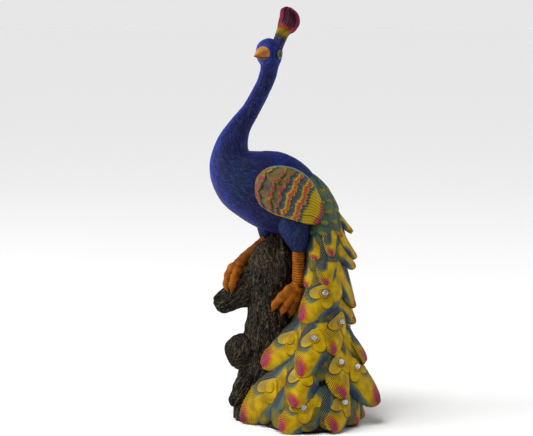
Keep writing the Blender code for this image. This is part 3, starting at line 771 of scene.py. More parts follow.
# Ochre that is pale on top and brown below, a little smoother than the feathers
BEAK_PAINT = PaintedResin(
    "ochre_acrylic_on_resin", "#B4762A", "#8E5414",
    coats=(PaintCoat("#C88E48", "top", 0.2, 0.9, 0.6),
           PaintCoat("#5E3210", "low", 0.2, 0.9, 0.85),
           PaintCoat("#2A1406", "mouth", 0.3, 0.9, 0.9)),
    carvings=(PORES,), roughness=(0.38, 0.5))

# Olive round a black pupil, the glossiest paint, which makes the eye look wet
EYE_PAINT = PaintedResin(
    "olive_enamel_eye", "#6E7A34", "#3E4824",
    coats=(PaintCoat("#2A3320", "rim", 0.3, 0.9, 0.85),
           PaintCoat("#050505", "pupil", 0.35, 0.6, 1.0, 0.1)),
    carvings=(PORES,), mottle_mm=1.0, roughness=(0.2, 0.3), varnish=0.08, highlight=0.2)

# Nearly black umber with worn brown crests, painted shade in the broad valleys, and no varnish: old dry
# bark
WOOD_PAINT = PaintedResin(
    "umber_washed_resin_bark", "#2B241D", "#0E0B08",
    coats=(PaintCoat("#050403", "shade", 0.2, 1.0, 0.85),
           PaintCoat("#7A6850", "knob", 0.3, 0.8, 0.75, 1.5, 1.3),
           PaintCoat("#5C4E3C", "worn", 0.35, 1.0, 0.6, 0.9, 3.0)),
    carvings=(Carving(Pattern.STROKES, length_mm=7.0, width_mm=1.0, depth_mm=0.6, wobble=1.2,
                      valley="#040302", valley_cover=0.9, crest="#6A5C48", crest_cover=0.35),
              Carving(Pattern.STROKES, length_mm=2.0, width_mm=0.5, depth_mm=0.25, wobble=0.9,
                      valley="#060503", valley_cover=0.5, crest="#9A8A70", crest_cover=0.3),
              PORES),
    mottle_mm=9.0, roughness=(0.6, 0.75), varnish=0.0)


@dataclass
class Workshop:
    """Turns forms into pieces of the scene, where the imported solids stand."""

    offset: np.ndarray
    materials: dict[str, bpy.types.Material] = field(default_factory=dict)

    def material(self, finish: PaintedResin | ClearAcrylic | FoilBack) -> bpy.types.Material:
        """Give a finish's material, which is made once.

        Args:
            finish: The finish.

        Returns:
            Its material.
        """
        if finish.name not in self.materials:
            self.materials[finish.name] = finish.build()
        return self.materials[finish.name]

    def make(self, name: str, form: Form, finish: PaintedResin | ClearAcrylic,
             node: str = CASTING, smooth: bool = True) -> bpy.types.Object:
        """Make a piece from a form.

        Args:
            name: The piece's name.
            form: Its form, in shares.
            finish: Its finish.
            node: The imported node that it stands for.
            smooth: Whether its faces are shaded smooth.

        Returns:
            The piece, at the origin, with its place in its mesh.
        """
        mesh = bpy.data.meshes.new(name)
        points = form.points * SHARE + self.offset
        mesh.from_pydata(points.tolist(), [], form.quads.tolist() + form.triangles.tolist())
        turned = bmesh.new()
        turned.from_mesh(mesh)
        bmesh.ops.recalc_face_normals(turned, faces=turned.faces)
        turned.to_mesh(mesh)
        turned.free()
        for key, value in form.values.items():
            kind = "FLOAT_VECTOR" if value.ndim == 2 else "FLOAT"
            store = mesh.attributes.new(key, kind, "POINT")
            store.data.foreach_set("vector" if value.ndim == 2 else "value",
                                   np.ascontiguousarray(value, dtype=np.float32).ravel())
        if smooth:
            mesh.shade_smooth()
        mesh.materials.append(self.material(finish))
        piece = add_object(name, mesh)
        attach(piece, BODY_NAME)
        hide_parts(node)
        LOG.info("%s: %d triangles", name, 2 * len(form.quads) + len(form.triangles))
        return piece


@dataclass
class Bird:
    """The bird's neck, head and body, its thighs, beak, eyes and crest."""

    rows: tuple = (
        (-6.15, 93.36, -6.25, 93.36, 0.0, 0.06),
        (-5.6, 93.25, -6.8, 93.25, 0.0, 0.8),
        (-4.4, 92.8, -8.0, 92.75, 0.0, 2.1),
        (-3.5, 91.9, -8.9, 91.8, 0.0, 2.9),
        (-3.0, 90.6, -9.3, 90.5, 0.0, 3.2),
        (-3.0, 89.3, -9.25, 89.2, 0.0, 3.15),
        (-3.35, 87.9, -8.8, 87.9, 0.0, 2.8),
        (-3.9, 86.5, -8.2, 86.7, 0.0, 2.3),
        (-4.7, 83.4, -8.8, 83.9, 0.0, 2.0),
        (-6.4, 79.6, -10.1, 81.2, 0.0, 2.0),
        (-8.7, 75.1, -12.4, 77.3, 0.0, 2.2),
        (-10.9, 70.7, -15.4, 73.8, 0.0, 2.7),
        (-11.1, 66.6, -18.5, 69.5, 0.0, 3.6),
        (-9.3, 66.2, -20.4, 64.1, 0.0, 4.9),
        (-6.4, 66.3, -20.1, 59.0, 0.0, 6.3),
        (-3.3, 66.0, -17.6, 53.9, 0.0, 7.5),
        (-0.1, 64.7, -13.2, 50.2, 0.0, 8.0),
        (2.5, 62.9, -8.4, 47.5, 0.0, 8.0),
        (4.7, 60.5, -2.8, 46.1, 0.0, 7.3),
        (6.2, 57.8, 2.1, 46.3, 0.0, 5.6),
        (7.4, 54.4, 5.2, 47.5, 0.0, 3.4),
    )
    left_thigh: tuple = (
        (3.3, 53.5, -4.2, 53.5, -4.6, 1.6),
        (3.6, 50.0, -4.2, 50.0, -5.0, 3.0),
        (3.5, 47.4, -3.7, 47.4, -5.1, 2.9),
        (3.2, 44.8, -2.2, 44.8, -5.1, 2.4),
        (2.4, 42.7, -0.6, 42.7, -5.1, 1.6),
    )
    right_thigh: tuple = (
        (-3.5, 52.0, -9.0, 52.0, 4.4, 1.6),
        (-3.6, 49.0, -9.4, 49.0, 4.4, 2.7),
        (-4.6, 46.3, -9.0, 46.6, 4.2, 2.2),
        (-5.7, 43.7, -8.4, 44.5, 4.0, 1.3),
    )
    crest_rows: tuple = (
        (-3.0, 90.6, -5.6, 91.0, -1.2, 1.2),
        (-2.3, 92.4, -5.0, 93.4, -1.2, 1.1),
        (-1.4, 94.1, -4.3, 95.4, -1.2, 1.1),
        (-0.1, 94.9, -4.0, 97.0, -1.2, 1.3),
        (1.0, 96.8, -3.6, 98.7, -1.2, 1.6),
        (0.6, 98.9, -3.3, 100.0, -1.2, 1.4),
        (-0.8, 100.2, -2.3, 100.5, -1.2, 0.6),
        (-1.5, 100.45, -1.7, 100.5, -1.2, 0.05),
    )
    head_centre: tuple = (-6.2, -0.6, 89.8)
    head_half_width: float = 3.15
    head_turn: float = math.radians(60.0)
    head_dip: float = math.radians(5.0)
    face_rim_ahead: float = 2.35
    face_rim_rise: float = 0.3
    beak_start: float = 2.5
    beak_reach: float = 6.9
    beak_half_height: float = 1.6
    beak_tip_share: float = 0.12
    beak_rise: float = 0.2
    beak_hook: float = 0.2
    eye_forward: float = 0.2
    eye_below: float = 0.2
    eye_half_sizes: tuple = (0.95, 0.42, 1.15)
    stroke_rise: float = 0.02
    flute_rise: float = 0.10
    lobe_rise: float = 0.16
    # Rings and sides of each mesh
    body_mesh: tuple[int, int] = (330, 180)
    thigh_mesh: tuple[int, int] = (60, 72)
    crest_mesh: tuple[int, int] = (110, 132)
    beak_mesh: tuple[int, int] = (40, 64)
    eye_mesh: tuple[int, int] = (40, 48)

    def head_axes(self) -> tuple[np.ndarray, np.ndarray, np.ndarray]:
        """Give the head's directions.

        Returns:
            Forward, sideways and upward.
        """
        forward = np.array([-math.cos(self.head_turn) * math.cos(self.head_dip),
                            -math.sin(self.head_turn) * math.cos(self.head_dip),
                            -math.sin(self.head_dip)])
        sideways = np.array([math.sin(self.head_turn), -math.cos(self.head_turn), 0.0])
        return forward, sideways, np.cross(forward, sideways)

    def body(self) -> Form:
        """Loft the head, neck, breast and back as one skin, with strokes carved along it.

        The strokes raise the skin by the sum of waves round it and fade out over the top of the head,
        and a ring round the face stands up where the distance ahead of the head's middle is the rim's.

        Returns:
            The form, with its painted shade, its painted highlight and its teal for the paint.
        """
        grid, along, angle = Loft(self.rows, *self.body_mesh).grid()
        x, z = grid[..., 0], grid[..., 2]
        forward, _, _ = self.head_axes()
        ahead = (grid - np.array(self.head_centre)) @ forward
        rim = self.face_rim_rise * hill(ahead, self.face_rim_ahead, 0.4) * fade(86.4, 87.6, z)
        strokes = self.stroke_rise * wander(along, angle, (24, 44), 1.5, 14, 5)
        grid = Loft.raised(grid, rim + strokes * fade(92.5, 88.0, z))
        # Painted shade on the flanks and the low belly; a painted highlight on breast front, head top and
        # face ring
        low = fade(62.0, 50.0, z) * fade(-14.0, -4.0, x)
        flank = fade(0.35, 0.95, np.abs(np.sin(angle))) * fade(89.0, 84.0, z)
        front = hill(np.abs(angle - math.pi), 0.0, 0.7) * fade(47.0, 60.0, z)
        head_top = fade(89.5, 93.5, z)
        return tube_form(grid, {
            "shade": np.clip(0.75 * flank + 0.5 * low, 0.0, 1.0),
            "light": np.clip(0.9 * front + 0.8 * head_top + 0.9 * rim / self.face_rim_rise, 0.0, 1.0),
            "teal": np.clip(fade(-4.0, 6.0, x) + 0.7 * hill(x, -13.0, 4.0) * hill(z, 60.0, 6.0), 0.0, 1.0),
            "lay": Loft.lay(grid, along, angle)})

    def thigh(self, rows: tuple, seed: int) -> Form:
        """Loft a thigh, with strokes down it.

        Args:
            rows: The thigh's ovals.
            seed: Which waves carve it.

        Returns:
            The form.
        """
        grid, along, angle = Loft(rows, *self.thigh_mesh).grid()
        grid = Loft.raised(grid, self.stroke_rise * wander(along, angle, (14, 26), 2.0, 10, seed))
        lay = Loft.lay(grid, along, angle)
        full = np.ones(grid.shape[:2])
        # The thighs lie in painted shade all over
        return tube_form(grid, {"shade": 0.75 * full, "teal": 0.45 * full, "lay": lay})

    def crest(self) -> Form:
        """Loft the crest: a stalk that opens into a fan with fine flutes.

        The 22 flutes and the 7 lobes each raise the skin by their rise times cos(n angle), more
        towards the fan's top.

        Returns:
            The form, with its height, its edges and its dark heart for the paint.
        """
        grid, along, angle = Loft(self.crest_rows, *self.crest_mesh).grid()
        up = along / along.max()
        flutes = self.flute_rise * up ** 1.2 * np.cos(22.0 * angle + 0.6 * np.sin(5.0 * angle))
        lobes = self.lobe_rise * fade(0.5, 0.9, up) * np.cos(7.0 * angle + 1.0)
        grid = Loft.raised(grid, flutes + lobes)
        side = np.abs(np.cos(angle)) * np.ones_like(up)
        lobe = fade(0.72, 0.92, np.cos(angle)) * fade(0.40, 0.46, up)
        edge = np.maximum(fade(0.5, 0.95, side) * fade(0.55, 0.65, up), lobe)
        heart = fade(0.92, 0.45, side) * fade(0.5, 0.64, up) * fade(1.0, 0.93, up)
        return tube_form(grid, {"up": up * np.ones_like(angle), "edge": edge, "heart": heart,
                                "lay": Loft.lay(grid, along, angle)})

    def beak(self) -> Form:
        """Make the beak: rings round a line that dips a little, with a mouth line and a nostril.

        A ring's radius is the half height times 1 - place^1.5. The mouth is a shallow groove low on
        the beak and the nostril a pit above it, bells in the height and in the place.

        Returns:
            The form, with its top, its lower half and its mouth for the paint.
        """
        forward, sideways, upward = self.head_axes()
        place = np.linspace(0.0, 1.0, self.beak_mesh[0])[:, None]
        angle = round_angles(self.beak_mesh[1])
        middle = (np.array(self.head_centre) + upward * (self.beak_rise - self.beak_hook * place ** 2)
                  + forward * (self.beak_start + (self.beak_reach - self.beak_start) * place))
        height = np.sin(angle) * np.ones_like(place)
        mouth = hill(height, -0.62, 0.09) * fade(0.98, 0.8, place)
        nostril = hill(height, 0.25, 0.13) * hill(place, 0.3, 0.06) * fade(0.3, 0.8, np.cos(angle))
        radius = self.beak_half_height * np.maximum(self.beak_tip_share, 1.0 - place ** 1.5)
        radius = (radius * (1.0 - 0.1 * mouth - 0.08 * nostril)
                  * (1.0 + 0.06 * fade(-0.62, -0.5, height)))
        ring = (np.cos(angle)[..., None] * sideways + np.sin(angle)[..., None] * upward)
        grid = middle[:, None, :] + ring * radius[..., None]
        return tube_form(grid, {"top": fade(0.2, 1.0, height), "low": fade(-0.1, -0.8, height),
                                "mouth": np.maximum(mouth, nostril)})

    def eye(self, side: float) -> Form:
        """Make an eye: a flat oval ball on the cheek, with its pupil and rim by the angle off its axis.

        Args:
            side: 1 for the eye towards the viewer, -1 for the other.

        Returns:
            The form.
        """
        forward, sideways, upward = self.head_axes()
        centre = (np.array(self.head_centre) + forward * self.eye_forward - upward * self.eye_below
                  + sideways * side * (self.head_half_width - self.eye_half_sizes[1] / 2.0))
        off = np.linspace(0.03, math.pi - 0.03, self.eye_mesh[0])[:, None]
        angle = round_angles(self.eye_mesh[1])
        half = self.eye_half_sizes
        grid = (centre + (half[0] * np.sin(off) * np.cos(angle))[..., None] * forward
                + (half[2] * np.sin(off) * np.sin(angle))[..., None] * upward
                + (half[1] * side * np.cos(off) * np.ones_like(angle))[..., None] * sideways)
        off = off * np.ones_like(angle)
        return tube_form(grid, {"pupil": fade(0.8, 0.6, off), "rim": fade(1.1, 1.4, off)})

    def build(self, shop: Workshop) -> None:
        """Make the bird's pieces.

        Args:
            shop: Makes the pieces.
        """
        shop.make("bird_body", self.body(), PLUMAGE)
        thighs = [self.thigh(self.left_thigh, 3), self.thigh(self.right_thigh, 4)]
        shop.make("bird_thighs", Form.joined(thighs), PLUMAGE)
        shop.make("bird_crest", self.crest(), CREST_PAINT)
        shop.make("bird_beak", self.beak(), BEAK_PAINT)
        eyes = Form.joined([self.eye(1.0), self.eye(-1.0)])
        shop.make("bird_eyes", eyes, EYE_PAINT)


@dataclass
class Wing:
    """One folded wing: a domed plate with rows of scale feathers, two coral bands and primaries."""

    rows: tuple = (
        (-10.3, 58.8, -10.3, 58.0, 5.4, 0.5),
        (-9.4, 61.2, -9.7, 55.8, 5.9, 1.6),
        (-6.2, 63.1, -7.9, 53.5, 6.5, 2.3),
        (-2.9, 63.5, -5.0, 51.9, 6.9, 2.6),
        (0.6, 62.6, -1.8, 50.9, 7.1, 2.5),
        (3.6, 60.3, 1.0, 49.9, 7.0, 2.2),
        (5.5, 57.2, 3.6, 49.4, 6.5, 1.8),
        (6.9, 53.4, 5.6, 49.4, 5.9, 1.3),
        (7.2, 51.3, 6.9, 50.4, 5.6, 0.5),
    )
    front: tuple = (-10.4, 58.4)
    slope: float = math.radians(23.0)
    # Each row of feathers: where it ends along the wing, how far that end curves back, a feather's
    # width, and how far a feather's round end reaches
    feather_rows: tuple = (
        (1.6, 0.075, 2.1, 0.5),
        (4.6, 0.060, 2.1, 0.6),
        (6.9, 0.035, 1.9, 0.6),
        (9.6, 0.006, 1.2, 0.45),
        (12.6, 0.004, 1.25, 0.5),
        (24.0, 0.0, 1.5, 0.0),
    )
    curve_middle: float = 2.2
    step: float = 0.42
    crown: float = 0.14
    barb_pitch: float = 0.42
    quill_pitch: float = 0.65
    groove_up: float = -0.9
    mesh: tuple[int, int] = (190, 132)

    def build(self, shop: Workshop, side: float, name: str) -> None:
        """Make the wing as a piece.

        Args:
            shop: Makes the piece.
            side: 1 for the viewer's side, -1 for the far side.
            name: The piece's name.
        """
        shop.make(name, self.form(side), WING_PAINT)

    def form(self, side: float) -> Form:
        """Work out the plate with its rows of feathers.

        Along the wing is p and up across it q, both bent by slow waves. A row ends at its place plus
        its curve times the square of q's distance from the middle, plus a round end for each feather.
        Within a row the skin rises from 0 to a step at the row's end, and bulges by a crown across
        each feather. The primaries, the last row, lie level, with slow ribs and one groove.

        Args:
            side: 1 for the viewer's side, -1 for the far side.

        Returns:
            The form, with its paint.
        """
        rows = tuple(row[:4] + (-row[4], row[5]) for row in self.rows)
        grid, along, angle = Loft(rows, *self.mesh).grid()
        dx, dz = grid[..., 0] - self.front[0], grid[..., 2] - self.front[1]
        p = dx * math.cos(self.slope) - dz * math.sin(self.slope)
        q = dx * math.sin(self.slope) + dz * math.cos(self.slope)
        p, q = p + 0.22 * np.sin(1.5 * q + 0.6 * p), q + 0.28 * np.sin(1.1 * p + 0.5 * q)
        outer = fade(0.0, 0.35, np.sin(angle)) * np.ones_like(p)
        start = np.full_like(p, -2.0)
        rise, gap = np.zeros_like(p), np.zeros_like(p)
        share, across, index = np.zeros_like(p), np.zeros_like(p), np.zeros_like(p)
        for number, (end, bend, width, reach) in enumerate(self.feather_rows):
            place = q / width + 0.5 * (number % 2)
            side_place = 2.0 * (place - np.floor(place)) - 1.0
            stop = end + bend * (q - self.curve_middle) ** 2 + reach * (1.0 - side_place ** 2)
            here = (p >= start) & (p < stop)
            part = np.clip((p - start) / np.maximum(stop - start, 0.3), 0.0, 1.0)
            rise = np.where(here, self.step * part + self.crown * (1.0 - side_place ** 2), rise)
            share = np.where(here, part, share)
            across = np.where(here, side_place, across)
            index = np.where(here, float(number), index)
            # The gap is painted shade in the seams and just under the step of the row before
            seam = hill(np.abs(side_place), 1.0, 0.09) * fade(0.0, 0.3, part)
            gap = np.where(here, np.maximum(seam, hill(p - start, 0.0, 0.11)), gap)
            start = stop
        last = index >= len(self.feather_rows) - 1
        groove = hill(q, self.groove_up, 0.14) * fade(13.0, 14.4, p) * last
        rise = np.where(last, 0.15 + 0.02 * np.cos(math.tau * q / 1.5) - 0.15 * groove, rise)
        # On the primaries the painted shade lies in the groove
        gap = np.where(last, groove, gap)
        rim = np.maximum(fade(0.91, 0.985, np.abs(np.cos(angle))), fade(1.4, 0.5, along))
        rear = fade(along.max() - 2.4, along.max() - 0.9, along) * np.ones_like(p)
        grid[..., 1] -= rise * outer * (1.0 - 0.7 * rim)
        grid[..., 1] *= side
        return tube_form(grid, self.paint(p, q, share, across, index, gap, rim, rear, last))

    def paint(self, p: np.ndarray, q: np.ndarray, share: np.ndarray, across: np.ndarray,
              index: np.ndarray, gap: np.ndarray, rim: np.ndarray, rear: np.ndarray,
              last: np.ndarray) -> dict[str, np.ndarray]:
        """Say where each paint lies on the wing.

        Args:
            p: Distance along the wing, in shares.
            q: Distance up across it, in shares.
            share: Place in a feather, from 0 at its root to 1 at its end.
            across: Place across a feather, from -1 to 1.
            index: The row's number.
            gap: Where two feathers meet, and under each row's step: the painted shade.
            rim: The wing's rim.
            rear: Its rear edge.
            last: Where the primaries are.

        Returns:
            The paint's values.
        """
        front_rows = index < 3
        bands = (index >= 3) & ~last
        dab = hill(share, 0.76, np.where(bands, 0.16, 0.3)) * (1.0 - np.where(bands, 0.35, 0.85)
                                                               * across ** 2)
        tip = np.maximum(fade(16.3, 17.9, p + 0.02 * q ** 2), rear) * last
        teal = np.where(front_rows, 0.25 + 0.5 * fade(2.0, -4.0, q) * fade(0.5, 0.1, share),
                        np.where(last, fade(14.6, 13.0, p), fade(0.62, 0.25, share)))
        yellow = np.where(front_rows, 0.45 * share, np.where(last, fade(13.2, 14.6, p),
                                                             fade(0.35, 0.6, share)))
        yellow = np.maximum(yellow, rim * fade(2.0, -1.0, q))
        shaft = hill(across, 0.0, 0.14) * fade(0.05, 0.2, share) * fade(0.9, 0.7, share)
        uneven = 0.8 + 0.45 * np.sin(2.3 * p + 1.7 * q) * np.sin(1.1 * p - 2.1 * q)
        return {"teal": teal * (1.0 - rim), "yellow": yellow * (1.0 - 0.8 * tip),
                "coral": np.where(bands, dab * 1.1, 0.9 * tip) * (1.0 - 0.8 * rim),
                "magenta": np.where(front_rows, dab * uneven, 0.0) * (1.0 - 0.8 * rim),
                "rim": rim * fade(-1.5, 1.5, q) * (1.0 - rear),
                "purple": np.maximum(fade(17.6, 18.4, p), fade(0.55, 1.0, rear)) * last,
                "shaft": np.where(bands, shaft, 0.3 * shaft) * (1.0 - rim),
                "gap": gap * (1.0 - rim),
                "front": np.where(front_rows, 0.6 + 0.3 * hill(p, 3.2, 1.6) * hill(q, 1.6, 1.6),
                                  np.where(last, 0.0, 0.35)) * (1.0 - rim),
                "barb": np.where(last, q / self.quill_pitch, (q + 0.6 * p) / self.barb_pitch),
                "comb": np.where(last, 0.7, 0.4) * (1.0 - 0.6 * rim)}


@dataclass
class Legs:
    """Shanks and toes, ringed with scales. A path has the half thickness at its start and its end."""

    left: tuple = (
        (((0.9, -4.9, 43.6), (0.9, -5.0, 38.8), (0.7, -5.0, 34.0)), 1.5, 1.4),
        (((0.7, -5.0, 34.4), (-1.4, -5.4, 33.0), (-3.4, -5.3, 31.2), (-4.7, -5.0, 29.6),
          (-5.5, -4.4, 27.6)), 1.45, 0.65),
        (((0.7, -5.0, 34.2), (-1.0, -5.2, 31.4), (-2.5, -4.8, 28.9), (-3.3, -3.9, 26.6)), 1.45, 0.65),
        (((0.7, -4.9, 34.0), (0.3, -4.5, 31.0), (-0.5, -3.8, 28.4), (-1.2, -2.8, 25.8)), 1.45, 0.65),
        (((0.7, -4.9, 34.0), (0.8, -3.0, 33.0), (-0.2, -1.4, 31.8)), 1.2, 0.5),
    )
    right: tuple = (
        (((-7.0, 3.4, 43.9), (-9.5, 2.6, 41.8), (-11.7, 1.9, 40.1), (-13.7, 1.0, 38.3)), 1.5, 1.45),
        (((-13.4, 1.2, 38.5), (-15.3, 0.3, 37.2), (-16.2, -0.6, 35.2), (-16.5, -1.2, 33.6),
          (-16.1, -1.6, 31.9)), 1.4, 0.7),
        (((-13.2, 0.8, 38.4), (-14.2, -1.1, 36.2), (-15.0, -2.1, 34.2), (-15.3, -2.6, 31.9)), 1.4, 0.7),
        (((-13.5, 1.4, 38.3), (-14.8, 2.6, 36.8), (-15.9, 2.8, 34.6), (-16.3, 2.5, 32.2)), 1.4, 0.7),
        (((-13.4, 1.2, 38.6), (-11.6, 2.0, 39.2), (-10.0, 2.7, 38.6)), 1.2, 0.5),
    )
    knuckles: int = 4
    knuckle_swell: float = 0.09
    ring_pitch: float = 0.6
    ring_rise: float = 0.04
    mesh: tuple[int, int] = (84, 30)

    def limb(self, path: tuple, start: float, end: float, is_toe: bool) -> Form:
        """Carry a round profile along a path, with knuckles and rings of scales.

        The radius goes from start to end by place^1.5, times 1 + swell cos(knuckles turns), closes at
        the end, and has the ring rise times the sine of the distance in ring pitches added.

        Args:
            path: Points that the limb passes through.
            start: Half thickness at the start.
            end: Half thickness at the end.
            is_toe: Whether it ends in a claw.

        Returns:
            The form.
        """
        rows = np.asarray(path, dtype=float)
        points = smooth_rows(rows, even_places(rows, self.mesh[0]))
        steps = np.linalg.norm(np.diff(points, axis=0), axis=1)
        gone = np.concatenate([[0.0], np.cumsum(steps)])[:, None]
        along = np.gradient(points, axis=0)
        along /= np.linalg.norm(along, axis=1, keepdims=True)
        across = np.cross(along, np.array([0.0, 1.0, 0.0]))
        across /= np.linalg.norm(across, axis=1, keepdims=True)
        third = np.cross(along, across)
        place = gone / gone[-1]
        angle = round_angles(self.mesh[1])
        radius = start + (end - start) * place ** 1.5
        swell = self.knuckle_swell if is_toe else 0.3 * self.knuckle_swell
        radius = radius * (1.0 + swell * np.cos(place * math.tau * self.knuckles))
        claw = fade(0.78, 0.9, place) * np.ones_like(angle) * is_toe
        radius = radius * np.where(is_toe, np.clip((1.02 - place) / 0.2, 0.08, 1.0),
                                   np.sqrt(np.clip((1.02 - place) / 0.1, 0.05, 1.0)))
        scale = (0.35 if is_toe else 1.0) * (1.0 - claw)
        ring = gone / self.ring_pitch + 0.12 * np.cos(2.0 * angle)
        radius = radius + self.ring_rise * scale * np.sin(math.tau * ring)
        grid = (points[:, None, :] + across[:, None, :] * (np.cos(angle) * radius)[..., None]
                + third[:, None, :] * (np.sin(angle) * radius)[..., None])
        return tube_form(grid, {"ring": ring, "scale": scale, "claw": claw})

    def build(self, shop: Workshop) -> None:
        """Make each leg as a piece: the first path is the shank, the others are toes.

        Args:
            shop: Makes the pieces.
        """
        for name, limbs in (("leg_left", self.left), ("leg_right", self.right)):
            forms = [self.limb(*limb, is_toe=number > 0) for number, limb in enumerate(limbs)]
            shop.make(name, Form.joined(forms), LEG_PAINT)


@dataclass
class Stump:
    """The tree stump: a trunk with a rounded knob, a broken branch, a burl and a root."""

    axis_y: float = 0.5
    root_y: float = -1.9
    # Height, rear x, front x, half depth
    trunk_rows: tuple = (
        (46.6, -3.4, -5.0, 0.9),
        (45.4, -2.8, -5.8, 2.0),
        (43.1, -1.1, -8.9, 3.8),
        (40.4, 0.0, -10.8, 4.9),
        (37.7, 0.2, -11.5, 5.4),
        (34.0, -0.2, -11.8, 5.4),
        (31.0, -0.6, -11.6, 5.0),
        (27.7, -0.6, -11.3, 4.7),
        (24.7, -0.4, -11.4, 4.7),
        (21.0, 0.0, -12.3, 5.0),
        (17.2, 0.0, -13.3, 5.4),
        (13.4, -1.0, -13.2, 5.4),
        (9.6, -2.0, -13.8, 5.2),
        (5.8, -2.0, -14.3, 5.4),
        (2.5, -2.0, -14.6, 5.8),
        (0.0, -2.0, -14.7, 5.9),
    )
    # x, upper z, lower z, half depth
    branch_rows: tuple = (
        (-6.5, 37.5, 30.0, 2.8),
        (-8.5, 38.8, 29.3, 3.9),
        (-10.8, 38.6, 28.3, 3.7),
        (-13.3, 36.8, 28.0, 3.3),
        (-15.2, 34.4, 27.2, 2.8),
        (-16.9, 32.8, 26.6, 2.4),
        (-18.4, 31.6, 27.0, 1.8),
        (-19.6, 30.1, 29.0, 0.6),
    )
    root_rows: tuple = (
        (-7.9, 13.0, -11.0, 15.2, 1.6),
        (-8.3, 11.0, -12.4, 13.4, 2.2),
        (-9.6, 8.3, -14.0, 10.6, 2.2),
        (-11.1, 5.4, -15.3, 7.4, 2.0),
        (-12.4, 3.2, -15.9, 5.0, 1.4),
        (-13.2, 2.8, -15.5, 3.9, 0.5),
    )
    burl_centre: tuple = (-12.6, -0.6, 17.0)
    burl_half_sizes: tuple = (4.0, 3.6, 4.3)
    burl_lean: float = math.radians(30.0)
    bark_rise: float = 0.36
    grain_rise: float = 0.13
    # Rings and sides of each mesh
    trunk_mesh: tuple[int, int] = (230, 170)
    branch_mesh: tuple[int, int] = (110, 110)
    root_mesh: tuple[int, int] = (70, 64)
    burl_mesh: tuple[int, int] = (80, 96)

    def bark(self, grid: np.ndarray, along: np.ndarray, angle: np.ndarray, seed: int) -> Form:
        """Carve bark on rings: broad ridges that wander, fine grain along them, and worn crests.

        Args:
            grid: The rings.
            along: Distance along, in shares.
            angle: Angle round, in radians.
            seed: Which ridges.

        Returns:
            The form.
        """
        broad = wander(along, angle, (3, 9), 0.5, 9, seed)
        fine = wander(along, angle, (16, 34), 0.9, 16, seed + 1)
        raised = Loft.raised(grid, self.bark_rise * (0.75 - np.abs(broad)) + self.grain_rise * fine)
        raised[..., 2] = np.maximum(raised[..., 2], 0.0)
        lay = Loft.lay(raised, along, angle)
        # The shade is painted shade in the broad valleys of the bark
        return tube_form(raised, {"worn": fade(0.4, 1.6, 0.75 - np.abs(broad) + 0.5 * fine),
                                  "knob": 0.5 * fade(35.0, 41.0, raised[..., 2]),
                                  "shade": fade(0.6, 1.5, np.abs(broad)), "lay": lay})

    def build(self, shop: Workshop) -> None:
        """Make the stump as one piece of overlapping limbs.

        Args:
            shop: Makes the piece.
        """
        trunk = tuple((rear, height, front, height, self.axis_y, half)
                      for height, rear, front, half in self.trunk_rows)
        branch = tuple((x, top, x, bottom, self.axis_y, half) for x, top, bottom, half in self.branch_rows)
        root = tuple(row[:4] + (self.root_y, row[4]) for row in self.root_rows)
        forms = [self.bark(*Loft(rows, *mesh).grid(), seed)
                 for rows, mesh, seed in ((trunk, self.trunk_mesh, 11), (branch, self.branch_mesh, 21),
                                          (root, self.root_mesh, 31))]
        forms.append(self.burl())
        shop.make("tree_stump", Form.joined(forms), WOOD_PAINT)

    def burl(self) -> Form:
        """Make the round burl: an ellipsoid with bark that runs round it.

        Returns:
            The form.
        """
        off = np.linspace(0.06, math.pi - 0.06, self.burl_mesh[0])[:, None]
        angle = round_angles(self.burl_mesh[1])
        half = np.array(self.burl_half_sizes)
        ball = np.stack([np.sin(off) * np.cos(angle), np.sin(off) * np.sin(angle),
                         np.cos(off) * np.ones_like(angle)], axis=-1)
        lean = np.array([[math.cos(self.burl_lean), 0.0, -math.sin(self.burl_lean)], [0.0, 1.0, 0.0],
                         [math.sin(self.burl_lean), 0.0, math.cos(self.burl_lean)]])
        lumps = 1.0 + 0.06 * np.sin(off) * wander(3.0 * off, angle, (1, 4), 1.5, 7, 43)
        grid = np.array(self.burl_centre) + (ball @ lean) * half * lumps[..., None]
        return self.bark(grid, off * half[2], angle, 41)


@dataclass(frozen=True)
class Feather:
    """One train feather, laid on the train's core from its root to its tip.

    A bearing is in degrees round the train's axis: 0 is the rear (+X), 90 the viewer's side (-Y).
    The face is the bearing that its tip looks to. A twin is its copy on the far side. The lean says
    to which side its blue and its pink lie: 1 towards the front, -1 towards the rear.
    """

    root_bearing: float
    root_height: float
    tip_bearing: float
    tip_height: float
    face: float
    width: float
    tip_lift: float
    stone: bool = False
    eyespot: bool = False
    twin: bool = False
    lean: float = 0.0
    dark: float = 0.0


